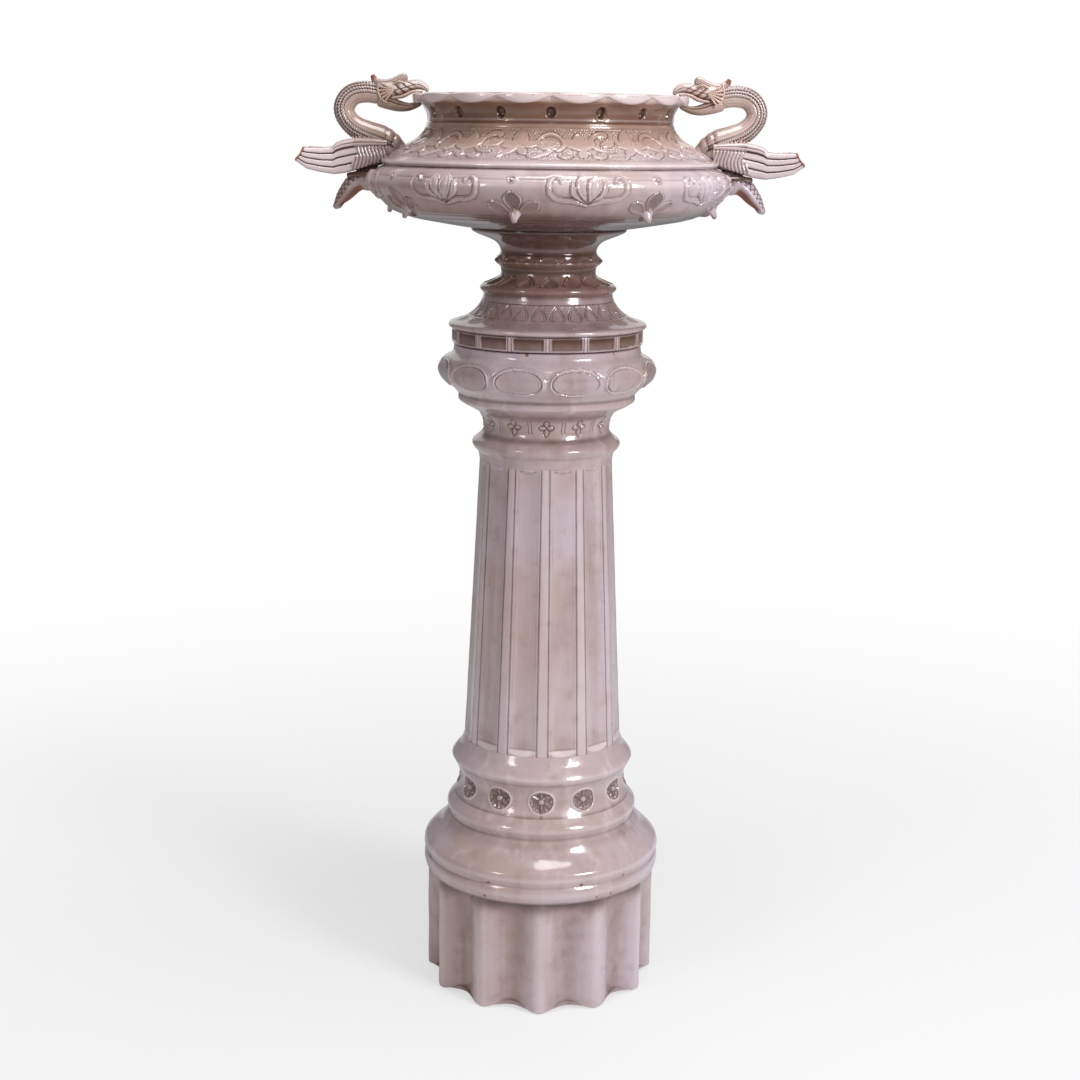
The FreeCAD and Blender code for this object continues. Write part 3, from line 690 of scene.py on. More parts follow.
# %% Model the foot's ring
outer = np.vstack([[(140, CAPITAL_TOP + 0.2)], outline(FOOT_BELL, 1.25)])
inner = [(60, CAPITAL_TOP + 78), (60, CAPITAL_TOP + 32), (126, CAPITAL_TOP + 22),
         (126, CAPITAL_TOP + 0.2)]
clay = Turned(outer, columns=760, inner=inner)
level = clay.height - CAPITAL_TOP
from_bar = np.abs(clay.across(LOBES))
panel = ease(BAR_HALF, 6.6, from_bar) * ease(3.5, 5, level) * (1 - ease(20.5, 22, level))
frame_line = bump(from_bar - 8.8, 0.9) * panel
bar_line = bump(from_bar - 3.0, 1.1) * (level < 23.5)
clay.press(-2.4 * panel - 0.7 * bar_line - 0.5 * frame_line
           + 0.3 * wander(clay.angle, clay.way, 51))
clay.mark("warm", 0.95 * panel * (0.65 + 0.35 * ease(6, 18, level)))
clay.mark("recess", panel * (0.5 + 0.4 * ease(12, 21, level)) + 0.8 * bar_line)
clay.mark("recess", 0.85 * frame_line)
# Browner all over: painted shade under the bowl.
clay.mark("warm", 0.45)
clay.mark("recess", 0.95 * bump(level - 23.8, 2.6))
clay.mark("recess", 0.9 * (1 - ease(0, 2.2, level)))
panel_rows = level[panel.max(1) > 0.5]
print(f"panels {panel_rows.min():.0f} to {panel_rows.max():.0f} mm up")

# %% Model the foot's bell
bell_foot = clay.way_at(CAPITAL_TOP + 33.8)
v = clay.way - bell_foot
on_bell = (v > 0).astype(float)
lancet = leaf(clay.across(LANCETS), v, 0, 29, 90, 30, 23, 0.8, 0.5)
lancet_lines = bump(lancet - 0.2, 1.1) + 0.9 * bump(lancet - 3.6, 1.1)
between = leaf(clay.across(LANCETS, 180 / LANCETS), v, 0, 60, 270, 26, 15, 0.7, 0.6)
cluster = leaf(clay.across(LOBES, HALF_LOBE), v, -16, 18, 0, 32, 19, 0.4)
spots = dots(clay.angle, v, 118, 4.4)
spotted = np.maximum(ease(-1, 0.5, cluster), 0.8 * ease(-1, 0.5, between))
border = bump(v - 60, 1.2) + bump(v - 31.5, 1.0) * 0.8
clay.press(on_bell * (-1.1 * lancet_lines - 1.3 * spots * spotted - 0.8 * border))
clay.mark("recess", on_bell * (0.95 * lancet_lines + 0.8 * border))
clay.mark("punched", on_bell * spots * spotted)
clay.mark("bare", on_bell * 0.4 * ease(4.6, 6, lancet))
# Browner over the bell: painted shade under the bowl.
clay.mark("warm", on_bell * 0.5)
bar_face = (bump(from_bar, 2.4) + bump(from_bar - 4.6, 1.2)) * (level < 23)
# Paler on the bead's crest as painted highlight, and on the bars between the panels.
clay.mark("pale", 0.5 * bump(level - 29, 5) + 0.7 * bar_face)
# Darker over the bell: painted shade under the bowl.
clay.mark("recess", on_bell * 0.24)
clay.mark("recess", 0.6 * ease(clay.length - 9, clay.length, clay.way))
finish_turned("foot_bell", clay, "foot", "bowl_foot")

# %% Model the foot's knops
outer = outline(FOOT_KNOPS, step=1.15)
clay = Turned(outer, columns=576, inner=[(59, CAPITAL_TOP + 176), (59, CAPITAL_TOP + 78)])
level = clay.height - CAPITAL_TOP
v = clay.way - clay.way_at(CAPITAL_TOP + 92.5)
drop = leaf(clay.across(LOBES), v, 0, 0.5, 90, 30, 27, 0.8, 0.55)
lobe_place = clay.way_at(CAPITAL_TOP + 131.5)
lobe_scoop = leaf(clay.across(LOBES), clay.way - lobe_place, -14, 0, 0, 28, 18, 0.5)
cut_edge = bump(clay.across(LOBES, HALF_LOBE), 5) * bump(clay.way - lobe_place + 3, 8)
clay.press(-3.2 * ease(1, 6, drop) - 1.9 * bump(drop, 1.5)
           - 3.2 * ease(0, 5, lobe_scoop) - 2.0 * cut_edge
           + 0.3 * wander(clay.angle, clay.way, 61))
clay.mark("recess", bump(drop - 0.2, 1.7) + 0.7 * bump(drop + 3.6, 1.2))
clay.mark("recess", 0.5 * ease(0, 5, drop))
clay.mark("recess", 0.6 * bump(lobe_scoop, 1.6) + 0.3 * ease(0, 4, lobe_scoop))
clay.mark("recess", 0.75 * bump(level - 113, 14))
clay.mark("recess", 0.8 * bump(level - 140, 9))
# Darker towards the top and browner all over: painted shade under the bowl.
clay.mark("recess", 0.32 + 0.5 * ease(118, 176, level))
clay.mark("warm", 0.8)
finish_turned("foot_knops", clay, "foot")

# %% [markdown]
# ## The bowl
# The bowl is wide and low, with a full belly, a sloping shoulder, a waisted neck and a lobed
# lip. It is built as an inner well that shows its inside and underside, and three outer bands
# that carry the ornament, so that each band is a fine grid only where it needs to be.

# %% Outlines of the bowl
UNDER = stroke((119, 0.5), (130, 2), (150, 5), (177, 9.5), (205, 14.5), (222, 19), lift=FOOT_TOP)
BELLY = strokes(
    FOOT_TOP,
    [(222, 19), (241, 27), (253, 37.5), (265, 50), (274, 60), (277, 67.5), (275.5, 76),
     (269.5, 84), (261, 89.5), (254.5, 92)],
)
SHOULDER = strokes(
    FOOT_TOP,
    [(254.5, 92), (252.5, 93.5), (253.5, 95.5), (256, 97.5), (255, 100.5), (250, 103.5)],
    [(250, 103.5), (235, 112), (218, 123), (206, 129.5), (196, 137), (190.5, 146), (187, 155)],
)
NECK = strokes(
    FOOT_TOP,
    [(187, 155), (185.6, 161), (186, 169), (189.5, 177), (194.5, 182.5), (201, 187), (207, 190)],
    [(207, 190), (209.3, 192), (209.3, 196.5), (207.5, 198)],
)
WELL = stroke((190, 195), (181, 183), (173, 169), (171.5, 157), (190, 131), (222, 107),
              (243, 89), (262, 67), (250, 41), (225, 28), (190, 27.5), (100, 27.5), (1, 27.5),
              lift=FOOT_TOP)

BOWL_WALL = 5
BOWL_COLUMNS = 1100
print("strokes in the bowl:", len(BELLY) + len(SHOULDER) + len(NECK) + 2)

# %% Model the bowl's well
under = even_steps(np.vstack([[(1, FOOT_TOP + 0.5)], UNDER]), 5)
hidden = [(r - 9, z + 1) for r, z in outline(BELLY + SHOULDER + NECK[:1], 9)[1:-2]]
well = even_steps(WELL, 6)
clay = Turned(np.vstack([under, hidden, well]), columns=400)
# Dark underside and darker low inside: painted shade under and inside the bowl.
clay.mark("recess", 0.9 * (clay.way < clay.way[len(under)]) * np.ones_like(clay.swell))
clay.mark("recess", 0.5 * (1 - ease(FOOT_TOP + 25, FOOT_TOP + 120, clay.height)))
finish_turned("bowl_well", clay, "jardiniere", "bowl")

# %% [markdown]
# ## The belly's reliefs
# Eight lilies and eight hanging flowers take turns round the belly. They were moulded apart and
# luted on, so they stand proud with a dark line of glaze round them. A lily has a fan of petals
# over two arms that curl up at their ends; a hanging flower ends in a small cone.

# %% Shape a lily and a hanging flower
LILIES = 8
LILY_TURN = 90 / LILIES
ARM = [(0, -24), (10, -21), (22, -18), (35, -17.5), (47, -14), (55, -5), (57, 5), (54, 14),
       (47, 18.5), (41, 17), (39, 11.5)]


def lily(u, v):
    """Height and dark lines of a lily: ribbons for the arms, leaves for the petals."""
    across = np.abs(u)
    arm = ribbon(across, v, ARM, 5.6, 2.8)
    lift = 2.8 * ease(-0.3, 3.0, arm)
    lift = np.maximum(lift, 0) - 0.9 * bump(arm + 1.0, 1.5)
    crease = bump(ribbon(across, v, ARM[1:8], 0.6), 1.4)
    lift -= 0.8 * crease * ease(0, 2, arm)
    dark = 0.6 * bump(arm + 0.8, 1.5)
    for direction, length, wide, x in ((121, 44, 22, -4), (59, 44, 22, 4), (103, 49, 23, -2),
                                       (77, 49, 23, 2)):
        petal = leaf(u, v, x * 0.4, -25, direction, length, wide, 0.85, 1.6)
        raised = 3.4 * ease(-0.2, 3.2, petal) - 1.2 * bump(petal - 5.5, 2.6)
        lift = np.where(petal > -0.4, np.maximum(raised, 0.6), lift)
        lift -= 1.0 * bump(petal + 0.2, 1.2)
        dark = np.where(petal > 0.5, 0, dark)
        dark = np.maximum(dark, 0.6 * bump(petal + 0.3, 1.3))
    return lift, dark


def hanging_flower(u, v):
    """An upright scooped oval between two spread leaves, over a cone that hangs free."""
    oval = leaf(u, v, 0, -14, 90, 46, 28, 0.62, 1.9)
    lift = 2.8 * ease(-0.3, 2.4, oval) - 5.0 * ease(1.6, 5.5, oval)
    dark = bump(oval + 0.6, 1.5) + 0.7 * bump(oval - 3.2, 1.1)
    deep = ease(2.2, 5.5, oval)
    for direction in (34, 146):
        spread = leaf(u, v, 0, -13, direction, 44, 22, 0.62, 1.9)
        raised = 2.6 * ease(-0.3, 2.4, spread) - 3.4 * ease(2, 5.5, spread)
        lift = np.where((spread > -0.3) & (oval < 0), np.maximum(raised, -1.5), lift)
        dark = np.maximum(dark, 0.7 * bump(spread + 0.6, 1.3) * (oval < 0))
        deep = np.maximum(deep, 0.6 * ease(2.2, 5.0, spread) * (oval < 0))
    stalk = leaf(u, v, 0, 2, 270, 34, 15, 0.8, 0.7)
    lift = np.maximum(lift, 5.0 * ease(-0.5, 6.5, stalk))
    deep = deep * (stalk < 0.5)
    return lift, dark, deep


print("a lily is", 2 * max(x for x, _ in ARM), "mm wide between the middles of its arms")

# %% Model the belly
outer = outline(BELLY, step=1.5)
clay = Turned(outer, columns=BOWL_COLUMNS, inner=back_wall(outer, BOWL_WALL, 14))
level = clay.height - FOOT_TOP
lily_lift, lily_dark = lily(clay.across(LILIES, LILY_TURN), clay.way - clay.way_at(FOOT_TOP + 66))
flower_lift, flower_dark, flower_deep = hanging_flower(
    clay.across(LILIES, -LILY_TURN), clay.way - clay.way_at(FOOT_TOP + 40))
button_at = np.hypot(clay.across(LILIES, -LILY_TURN), clay.way - clay.way_at(FOOT_TOP + 80))
button = (1.6 * bump(button_at - 5.2, 1.9) - 1.4 * bump(button_at - 3.2, 1.1)
          + 2.6 * np.sqrt(np.clip(1 - (button_at / 3.2) ** 2, 0, 1)))
plain = (lily_lift < 0.3) & (flower_lift < 0.3)
lines = plain * (bump(level - 80, 1.5) * (button_at > 9)
                 + bump(level - 27, 1.2) + bump(level - 20.5, 1))
clay.press(0.35 * wander(clay.angle, clay.way, 81) + lily_lift + flower_lift + button
           - 0.7 * lines)
clay.mark("recess", lily_dark)
clay.mark("recess", flower_dark)
clay.mark("recess", 0.45 * lines)
clay.mark("recess", 0.9 * bump(button_at - 3.4, 1.2))
clay.mark("recess", 0.6 * bump(button_at - 6.6, 1.2))
clay.mark("recess", 0.7 * flower_deep)
# Paler on the reliefs' tops and round the belly's widest part: painted highlight.
clay.mark("pale", 0.5 * ease(1.2, 2.6, np.maximum(lily_lift, flower_lift)))
clay.mark("pale", 0.45 * bump(level - 74, 16))
clay.mark("bare", 0.4 * flower_deep)
# Darker under the belly's swell: painted shade.
clay.mark("recess", 0.8 * (1 - ease(FOOT_TOP + 19, FOOT_TOP + 46, clay.height)))
# Browner low down and on the left of the lower half: painted shade under the swell and on the side
# away from the key light.
low = 1 - ease(FOOT_TOP + 30, FOOT_TOP + 66, clay.height)
lower_half = 1 - ease(FOOT_TOP + 60, FOOT_TOP + 84, clay.height)
left_shade = 0.5 - 0.5 * np.cos(clay.angle - 0.35)
clay.mark("warm", 0.42 * low + 0.45 * left_shade * lower_half)
finish_turned("bowl_belly", clay, "jardiniere")

# %% [markdown]
# ## The shoulder's frieze
# A frieze of leaves was drawn into the damp clay and the ground behind it punched with a point.
# Plain leaves, a palmette, an open loop and a crescent make one unit, which goes round eight
# times. Eight units of the same drawing look too even, so a slow wander bends the lines as a
# hand does.


# %% Draw the frieze
def frieze(u, v):
    """Millimetres inside the nearest plain shape of a unit, and its inner drawn lines."""
    shapes = []
    for direction, length, wide in ((90, 37, 24), (158, 32, 20), (22, 32, 20), (228, 28, 13),
                                    (300, 24, 12)):
        shapes.append(leaf(u, v, -60, 36, direction, length, wide, 0.62, 1.2))
    loop_path = spiral(-16, 46, -60, 360, 22, 17, 22)
    shapes.append(ribbon(u, v, loop_path, 3.6, 2.4))
    shapes.append(leaf(u, v, -12, 26, 214, 30, 10, 0.7))
    for direction, length in ((90, 44), (122, 38), (58, 38)):
        shapes.append(leaf(u, v, 27, 24, direction, length, 20, 0.6, 1.5))
    shapes.append(leaf(u, v, 27, 26, 270, 18, 14, 0.6))
    crescent = spiral(64, 44, 70, 215, 22, 20, 16)
    shapes.append(ribbon(u, v, crescent, 4.8, 2.2))
    shapes.append(leaf(u, v, 56, 36, 35, 32, 17, 0.7))
    for x in (-36, 4, 49, -86):
        for direction in (55, 90, 125):
            shapes.append(leaf(u, v, x, 5, direction, 17, 7.5, 0.7, 1.1))
    inside = np.maximum.reduce(shapes)
    veins = np.maximum.reduce([bump(shape - 4.6, 0.9) for shape in shapes[:3]])
    return inside, veins


print("the middle leaf is", frieze(np.array(-60.0), np.array(54.0))[0].round(1), "mm half wide")

# %% Model the shoulder
outer = outline(SHOULDER, step=1.35)
clay = Turned(outer, columns=BOWL_COLUMNS, inner=back_wall(outer, BOWL_WALL, 14))
level = clay.height - FOOT_TOP
frieze_foot = clay.way_at(FOOT_TOP + 105)
v = clay.way - frieze_foot
drift = 1.6 * wander(clay.angle, clay.way, 91, (3, 14), 60)
unit = clay.across(LILIES, 4) * (212 / clay.radius)
inside, veins = frieze(unit + drift, v + 0.7 * drift)
frieze_top = clay.length - frieze_foot - 3
in_frieze = ease(2, 4, v) * (1 - ease(frieze_top - 5, frieze_top - 3, v))
spots = dots(clay.angle, clay.way, 215, 4.3)
ground = (1 - ease(-1.2, 0.2, inside)) * in_frieze
rims = bump(v - 1.5, 1.2) + bump(v - frieze_top + 2, 1.2)
clay.press(0.3 * wander(clay.angle, clay.way, 92)
           + in_frieze * (outlined(inside, 1.3, 0.9) - 0.6 * veins) - 1.5 * spots * ground
           - 0.7 * rims)
clay.mark("punched", spots * ground)
clay.mark("recess", in_frieze * (0.85 * bump(inside + 0.9, 1.4) + 0.5 * veins) + 0.6 * rims)
clay.mark("warm", 0.36 * in_frieze * ease(1, 4, inside))
# Paler on the shoulder's ridge and the low part of the frieze: painted highlight.
clay.mark("pale", 0.6 * bump(level - 98, 6) + 0.3 * (1 - ease(30, 60, v)))
clay.mark("recess", 0.95 * bump(level - 93.4, 2.0))
clay.mark("warm", 0.24 + 0.4 * ease(30, frieze_top + 12, v))
finish_turned("bowl_shoulder", clay, "jardiniere")

# %% [markdown]
# ## The neck and the lobed lip
# Sixteen thumb-sized hollows are pressed into the neck, and above each of them two lobes of the
# lip meet in a small point. The waist under the lip is painted browner and darker, as painted
# shade.

# %% Model the neck
HOLLOW_HALF_WIDE = 7.8
HOLLOW_HALF_TALL = 9.6
outer = outline(NECK, step=1.2)
inner = [(196, FOOT_TOP + 198.5), (190, FOOT_TOP + 195), (181, FOOT_TOP + 183),
         (178, FOOT_TOP + 169), (179, FOOT_TOP + 155)]
clay = Turned(outer, columns=960, inner=inner)
cusp = 1 - np.abs(np.sin(LOBES / 2 * clay.angle)) ** 0.7
level = clay.height - FOOT_TOP
on_lip = ease(185, 190, level) * clay.face
clay.swell -= 5 * cusp * on_lip
clay.drop += ((1 - cusp) * 6.0 - 2.4 * cusp) * bump(level - 190, 6) * clay.face
oval = np.hypot(clay.across(LOBES) / HOLLOW_HALF_WIDE,
                (clay.way - clay.way_at(FOOT_TOP + 171)) / HOLLOW_HALF_TALL)
hollow = HOLLOW_HALF_WIDE * (1 - oval)
clay.press(0.25 * wander(clay.angle, clay.way, 95) - 5.8 * ease(0, 5.0, hollow)
           + 0.8 * bump(hollow + 1.2, 1.6))
beads = bump(level - 157.5, 1.3)
clay.press(-0.8 * beads)
clay.mark("recess", 0.95 * ease(-0.5, 3, hollow))
clay.mark("recess", 0.75 * beads)
# Browner and darker below the lip: painted shade in the waist.
clay.mark("warm", 1 - ease(180, 189, level))
clay.mark("recess", 0.42 * (1 - ease(176, 188, level)))
clay.mark("bare", 0.45 * bump(level - 195, 2.4))
clay.mark("pale", on_lip)
clay.mark("pale", 0.6 * bump(level - 161, 3))
finish_turned("bowl_neck", clay, "jardiniere")

# %% [markdown]
# ## The dragon handles
# Each handle is a dragon that grips the bowl with its body, bends its neck up and bites the lip.
# The maker modelled it freely in clay, so the shapes here are *limbs*: ovals of changing size
# carried along a curve, with their scales and grooves pressed in. The left dragon is the right
# one mirrored.


# %% Limbs
def limb(stations, sides, step, round_ends=(0.6, 0.6), relief=None):
    """A tube along a smooth curve through stations (x, y, z, half height, half width). Each ring
    is an oval, centre + up * h * cos(phi) + across * w * sin(phi), and the rings shrink to a
    rounded end over a share of the end station's height."""
    table = np.asarray(stations, float)
    dense = smooth_way(table, 24)
    way = np.concatenate([[0], np.cumsum(np.linalg.norm(np.diff(dense[:, :3], axis=0), axis=1))])
    total = way[-1]
    first = max(table[0, 3] * round_ends[0], 0.6)
    last = max(table[-1, 3] * round_ends[1], 0.6)
    bend = np.radians([4, 12, 24, 38, 54, 72, 90])
    middle = np.arange(first + step, total - last - step / 2, step)
    at = np.concatenate([first * (1 - np.cos(bend)), middle,
                         total - last * (1 - np.cos(bend[::-1]))])
    size = np.concatenate([np.sin(bend), np.ones(len(middle)), np.sin(bend[::-1])])
    ring = np.stack([np.interp(at, way, column) for column in dense.T], axis=1)
    along = np.gradient(ring[:, :3], at, axis=0)
    along /= np.linalg.norm(along, axis=1, keepdims=True)
    across = np.array([0.0, 1.0, 0.0]) - along * along[:, 1:2]
    across /= np.linalg.norm(across, axis=1, keepdims=True)
    upward = np.cross(across, along)
    phi = 2 * np.pi * np.arange(sides) / sides
    half_high = np.maximum(ring[:, 3], 0.5)[:, None] * size[:, None]
    half_wide = np.maximum(ring[:, 4], 0.5)[:, None] * size[:, None]
    swell, marks = (0.0, {}) if relief is None else relief(phi[None, :], at[:, None], total)
    swell = swell * size[:, None] + np.zeros((len(at), sides))
    points = (ring[:, None, :3] + upward[:, None] * ((half_high + swell) * np.cos(phi))[..., None]
              + across[:, None] * ((half_wide + swell) * np.sin(phi))[..., None])
    return closed_tube(points, marks)


def closed_tube(points, marks):
    """Faces for rings of points, with a fan over each end."""
    rows, sides = points.shape[:2]
    flat = np.vstack([points.reshape(-1, 3), points[0].mean(0), points[-1].mean(0)])
    low, high = rows * sides, rows * sides + 1
    triangles = np.vstack([end_fan(np.arange(sides), low, True),
                           end_fan((rows - 1) * sides + np.arange(sides), high, False)])
    values = {mark: np.append(np.clip(np.broadcast_to(marks.get(mark, 0.0), (rows, sides)), 0, 1)
                              .ravel(), [0, 0])
              for mark in MARKS}
    return flat, grid_faces(rows, sides, close_rows=False), triangles, values


def gather(*parts):
    """Several closed shapes as one set of arrays, their vertex numbers shifted along."""
    points, quads, triangles, marks, start = [], [], [], {}, 0
    for flat, four, three, values in parts:
        points.append(flat)
        quads.append(four + start)
        triangles.append(three + start)
        for mark, amount in values.items():
            marks.setdefault(mark, []).append(amount)
        start += len(flat)
    return (np.vstack(points), np.vstack(quads), np.vstack(triangles),
            {mark: np.concatenate(amounts) for mark, amounts in marks.items()})


def mirrored(shape, flip=(-1, 1, 1)):
    """The shape seen in a mirror, its faces wound back so that they still point outward."""
    points, quads, triangles, marks = shape
    return points * flip, quads[:, ::-1], triangles[:, ::-1], marks


def both_sides(shape):
    """A shape and its mirror image on the other side of the dragon."""
    return gather(shape, mirrored(shape, (1, -1, 1)))


plain = limb([(0, 0, 0, 5, 5), (20, 0, 0, 5, 5)], sides=12, step=2.0)
print("a plain limb has", len(plain[0]), "vertices")


# %% Hang the cones under the belly's flowers
def turned_to(shape, degrees):
    """The shape swung round the bowl's axis."""
    points, quads, triangles, marks = shape
    a = math.radians(degrees)
    swing = np.array([[math.cos(a), -math.sin(a), 0], [math.sin(a), math.cos(a), 0], [0, 0, 1]])
    return points @ swing.T, quads, triangles, marks


cone = limb([(238, 0, FOOT_TOP + 46, 10, 14), (246, 0, FOOT_TOP + 36, 9, 11),
             (251.5, 0, FOOT_TOP + 27, 5.2, 6), (254.5, 0, FOOT_TOP + 19, 2.6, 3)],
            sides=40, step=1.2,
            relief=lambda phi, s, total: (0, {"recess": 0.5 * ease(total - 9, total, s),
                                              "bare": 0.5 * ease(total - 5, total, s)}))
place(write_mesh("belly_pendants", *gather(*[turned_to(cone, 360 / LILIES * k - LILY_TURN)
                                             for k in range(LILIES)]), crease=50), "jardiniere")

# %% [markdown]
# ## Neck, head and comb
# Three bands of small raised scales run along the outer bend of the neck. The head has a hooked
# upper beak that lies on the lip, a jaw below it, a fan of ribs on each cheek, and a comb with
# two horns.


# %% Neck
def scales(phi, s, total):
    """Lengthwise grooves part the bands, and a cosine along the neck raises the scales."""
    out = np.cos(phi)
    grooves = sum(bump(out - edge, 0.09) for edge in (0.86, 0.6, 0.3, -0.05))
    in_band = ease(-0.05, 0.02, out) * (1 - np.clip(grooves, 0, 1))
    bead = 0.5 + 0.5 * np.cos(2 * np.pi * s / 3.7 + 2.5 * np.round(out * 3.4))
    fade = ease(6, 22, s) * (1 - ease(total - 8, total - 2, s))
    faint = bump(out + 0.35, 0.07) + bump(out + 0.62, 0.07)
    folds = np.sin(s / 1.9 + 1.5 * out) * ease(4, 12, s) * (1 - ease(30, 46, s))
    lift = 0.5 * folds * (out < 0.3) + fade * (-1.2 * np.clip(grooves, 0, 1)
                                               + 1.0 * in_band * bead - 0.35 * faint)
    near_head = ease(total - 48, total - 12, s)
    return lift, {"recess": (fade * (0.95 * grooves + 0.55 * in_band * (1 - bead) + 0.4 * faint)
                             + 0.45 * np.clip(-folds, 0, 1) + 0.1),
                  "pale": fade * in_band * bead * 0.8 + 0.25,
                  "bare": 0.62 * near_head * in_band * (1 - bead)}


NECK_LINE = [(222, 0, 1334, 8, 14), (238, 0, 1345, 15, 18), (256, 0, 1353, 19, 19),
             (276, 0, 1360, 18, 17.5), (295, 0, 1369, 16.3, 16), (308, 0, 1382, 15.4, 15.5),
             (312, 0, 1396, 15.8, 15.5), (306.5, 0, 1409.5, 16, 15), (295, 0, 1418, 16, 14.5),
             (277, 0, 1420.5, 15.8, 14.5), (260, 0, 1418, 15, 14.5), (250, 0, 1417, 12, 13)]
neck = limb(NECK_LINE, sides=80, step=1.0, relief=scales)
print("neck vertices:", len(neck[0]))


# %% Head
def face_lines(phi, s, total):
    """Two folds along each side of the face, and darker glaze towards the mouth."""
    side = np.abs(np.sin(phi))
    fold = bump(np.cos(phi) + 0.25 - 0.3 * s / total, 0.1) * ease(0.4, 0.8, side)
    brow = bump(np.cos(phi) - 0.55, 0.14) * bump(s - total * 0.45, 16)
    # Darker along the underside: painted shade under the head.
    under = ease(0.2, 0.9, -np.cos(phi))
    crease = np.clip(np.sin(s / 1.7 + 5 * np.cos(phi)), 0, 1) * ease(total * 0.2, total * 0.35, s)
    crease = crease * (1 - ease(total * 0.62, total * 0.8, s)) * side
    return 1.8 * brow - 1.6 * fold - 0.9 * crease, {
        "recess": 0.95 * fold + 0.5 * under + 0.85 * crease,
        "pale": 0.7 * (1 - fold) * (1 - crease) * (1 - under),
        "bare": 0.35 * under * ease(total * 0.5, total, s)}


def jaw_lines(phi, s, total):
    """A lip line along the upper edge of the jaw, and bare clay at the mouth's corner."""
    edge = bump(np.cos(phi) - 0.5, 0.14)
    return 1.2 * edge, {"recess": 0.95 * bump(np.cos(phi) - 0.28, 0.16) + 0.2,
                        "bare": 0.6 * bump(s - total * 0.72, 13) * ease(0.5, 0.9, -np.cos(phi))}


HEAD = [(262, 0, 1419, 14, 14), (248, 0, 1423, 13.5, 15.5), (234, 0, 1425, 12.5, 14.5),
        (220, 0, 1428, 9.5, 12), (206, 0, 1432, 7.6, 9.5), (196, 0, 1431.5, 6.8, 8),
        (188.5, 0, 1427, 4.6, 5.5), (186, 0, 1421.5, 2.2, 3)]
JAW = [(262, 0, 1411, 11, 13), (246, 0, 1405.5, 10.5, 13), (229, 0, 1400.5, 8.5, 11.5),
       (215, 0, 1399.5, 6.2, 9.5), (203, 0, 1402.5, 4.6, 7.5), (195, 0, 1405.5, 2.6, 5)]
eye = limb([(231, -11.6, 1431, 3.4, 3), (226, -11.4, 1431, 3.4, 3)], sides=28, step=1.0,
           round_ends=(1, 1))
lid = limb([(237, -12.5, 1432, 1.6, 2.4), (229, -12.6, 1436, 2, 3), (219, -10.5, 1434, 1.4, 2)],
           sides=24, step=1.2)
nostril = limb([(201, -6.8, 1435, 1.8, 1.6), (196, -6.2, 1434, 1.6, 1.4)], sides=20, step=1.0)
lip_fold = limb([(240, -12.5, 1412, 1.6, 1.8), (224, -11.5, 1414.5, 2.2, 2.4),
                 (208, -8.8, 1422, 2, 2.2), (194, -6.4, 1422, 1.5, 1.6)], sides=24, step=1.4)
print("head", HEAD[0][0] - HEAD[-1][0], "mm long")


# %% Cheek fan and comb
CHEEK = np.array([236.0, 1424.0])


def cheek_fan():
    """Six ribs that spread back from the corner of the mouth over a shallow dish."""
    parts = [limb([(240, -14, 1423, 6, 2.6), (249, -14.2, 1420, 11, 2.8),
                   (257, -13.6, 1417, 12, 2.4)], sides=40, step=1.6, round_ends=(0.8, 0.8),
                  relief=lambda phi, s, total: (0, {"bare": 0.6, "recess": 0.7}))]
    for direction in (28, 12, -4, -20, -36, -52):
        a = math.radians(direction)
        reach = 24 - 0.06 * abs(direction + 10)
        end = CHEEK + reach * np.array([math.cos(a), math.sin(a)])
        middle = CHEEK + reach * 0.5 * np.array([math.cos(a), math.sin(a)])
        parts.append(limb([(CHEEK[0], -14.2, CHEEK[1], 1.3, 1.8),
                           (middle[0], -16.8, middle[1], 1.5, 1.8),
                           (end[0], -15.6, end[1], 1.9, 1.8)], sides=14, step=1.6))
    rim = spiral(CHEEK[0], CHEEK[1], -64, 100, 22, 25, 9)
    parts.append(limb([(x, -14.8, z, 1.7, 2.2) for x, z in rim], sides=14, step=1.8))
    return gather(*parts)


def comb_lines(phi, s, total):
    """Grooves along the comb, red clay on both horn tips."""
    groove = sum(bump(np.cos(phi) - edge, 0.14) for edge in (0.55, 0.15, -0.25, -0.65))
    tips = (1 - ease(4, 14, s)) + 0.55 * ease(total - 12, total - 3, s)
    return -1.1 * groove, {"recess": 0.95 * groove, "bare": 0.75 * tips,
                           "pale": 0.6 * (1 - np.clip(groove, 0, 1))}


COMB = [(269.5, 0, 1446, 3, 4.5), (266, 0, 1439, 5, 6.5), (258, 0, 1433.5, 6.6, 8.5),
        (246, 0, 1432.5, 7.2, 9.5), (234, 0, 1435.5, 7.8, 9.5), (225, 0, 1440.5, 7.4, 8.5),
        (216.5, 0, 1445, 5.6, 7)]
print("cheek fan vertices:", len(cheek_fan()[0]))

# %% [markdown]
# ## Body, wings and tail
# The wing is one slab: its front is a grid whose rows run out to the tip and whose columns run
# up it. Four long feathers are curved strips of that grid that end in steps, and the coverts at
# the root carry upright ripples. The tail is a trumpet that is hollow underneath.

# %% Wing
WING_ROOT = 246
WING_TIP = 383
COVERT_END = 298
CAPE_END = 326
FEATHERS = 4
LOW_EDGE = ((246, 1320), (264, 1315), (285, 1308), (310, 1300.5), (326, 1298.5), (345, 1301.5),
            (366, 1306.5), (382, 1318))
HIGH_EDGE = ((246, 1350), (268, 1352), (292, 1353), (312, 1350), (322, 1346), (328, 1340),
             (345, 1338), (382, 1339.5))


def edge_height(edge, x):
    """The height of an edge line over a place."""
    places, heights = zip(*edge)
    return np.interp(x, places, heights)


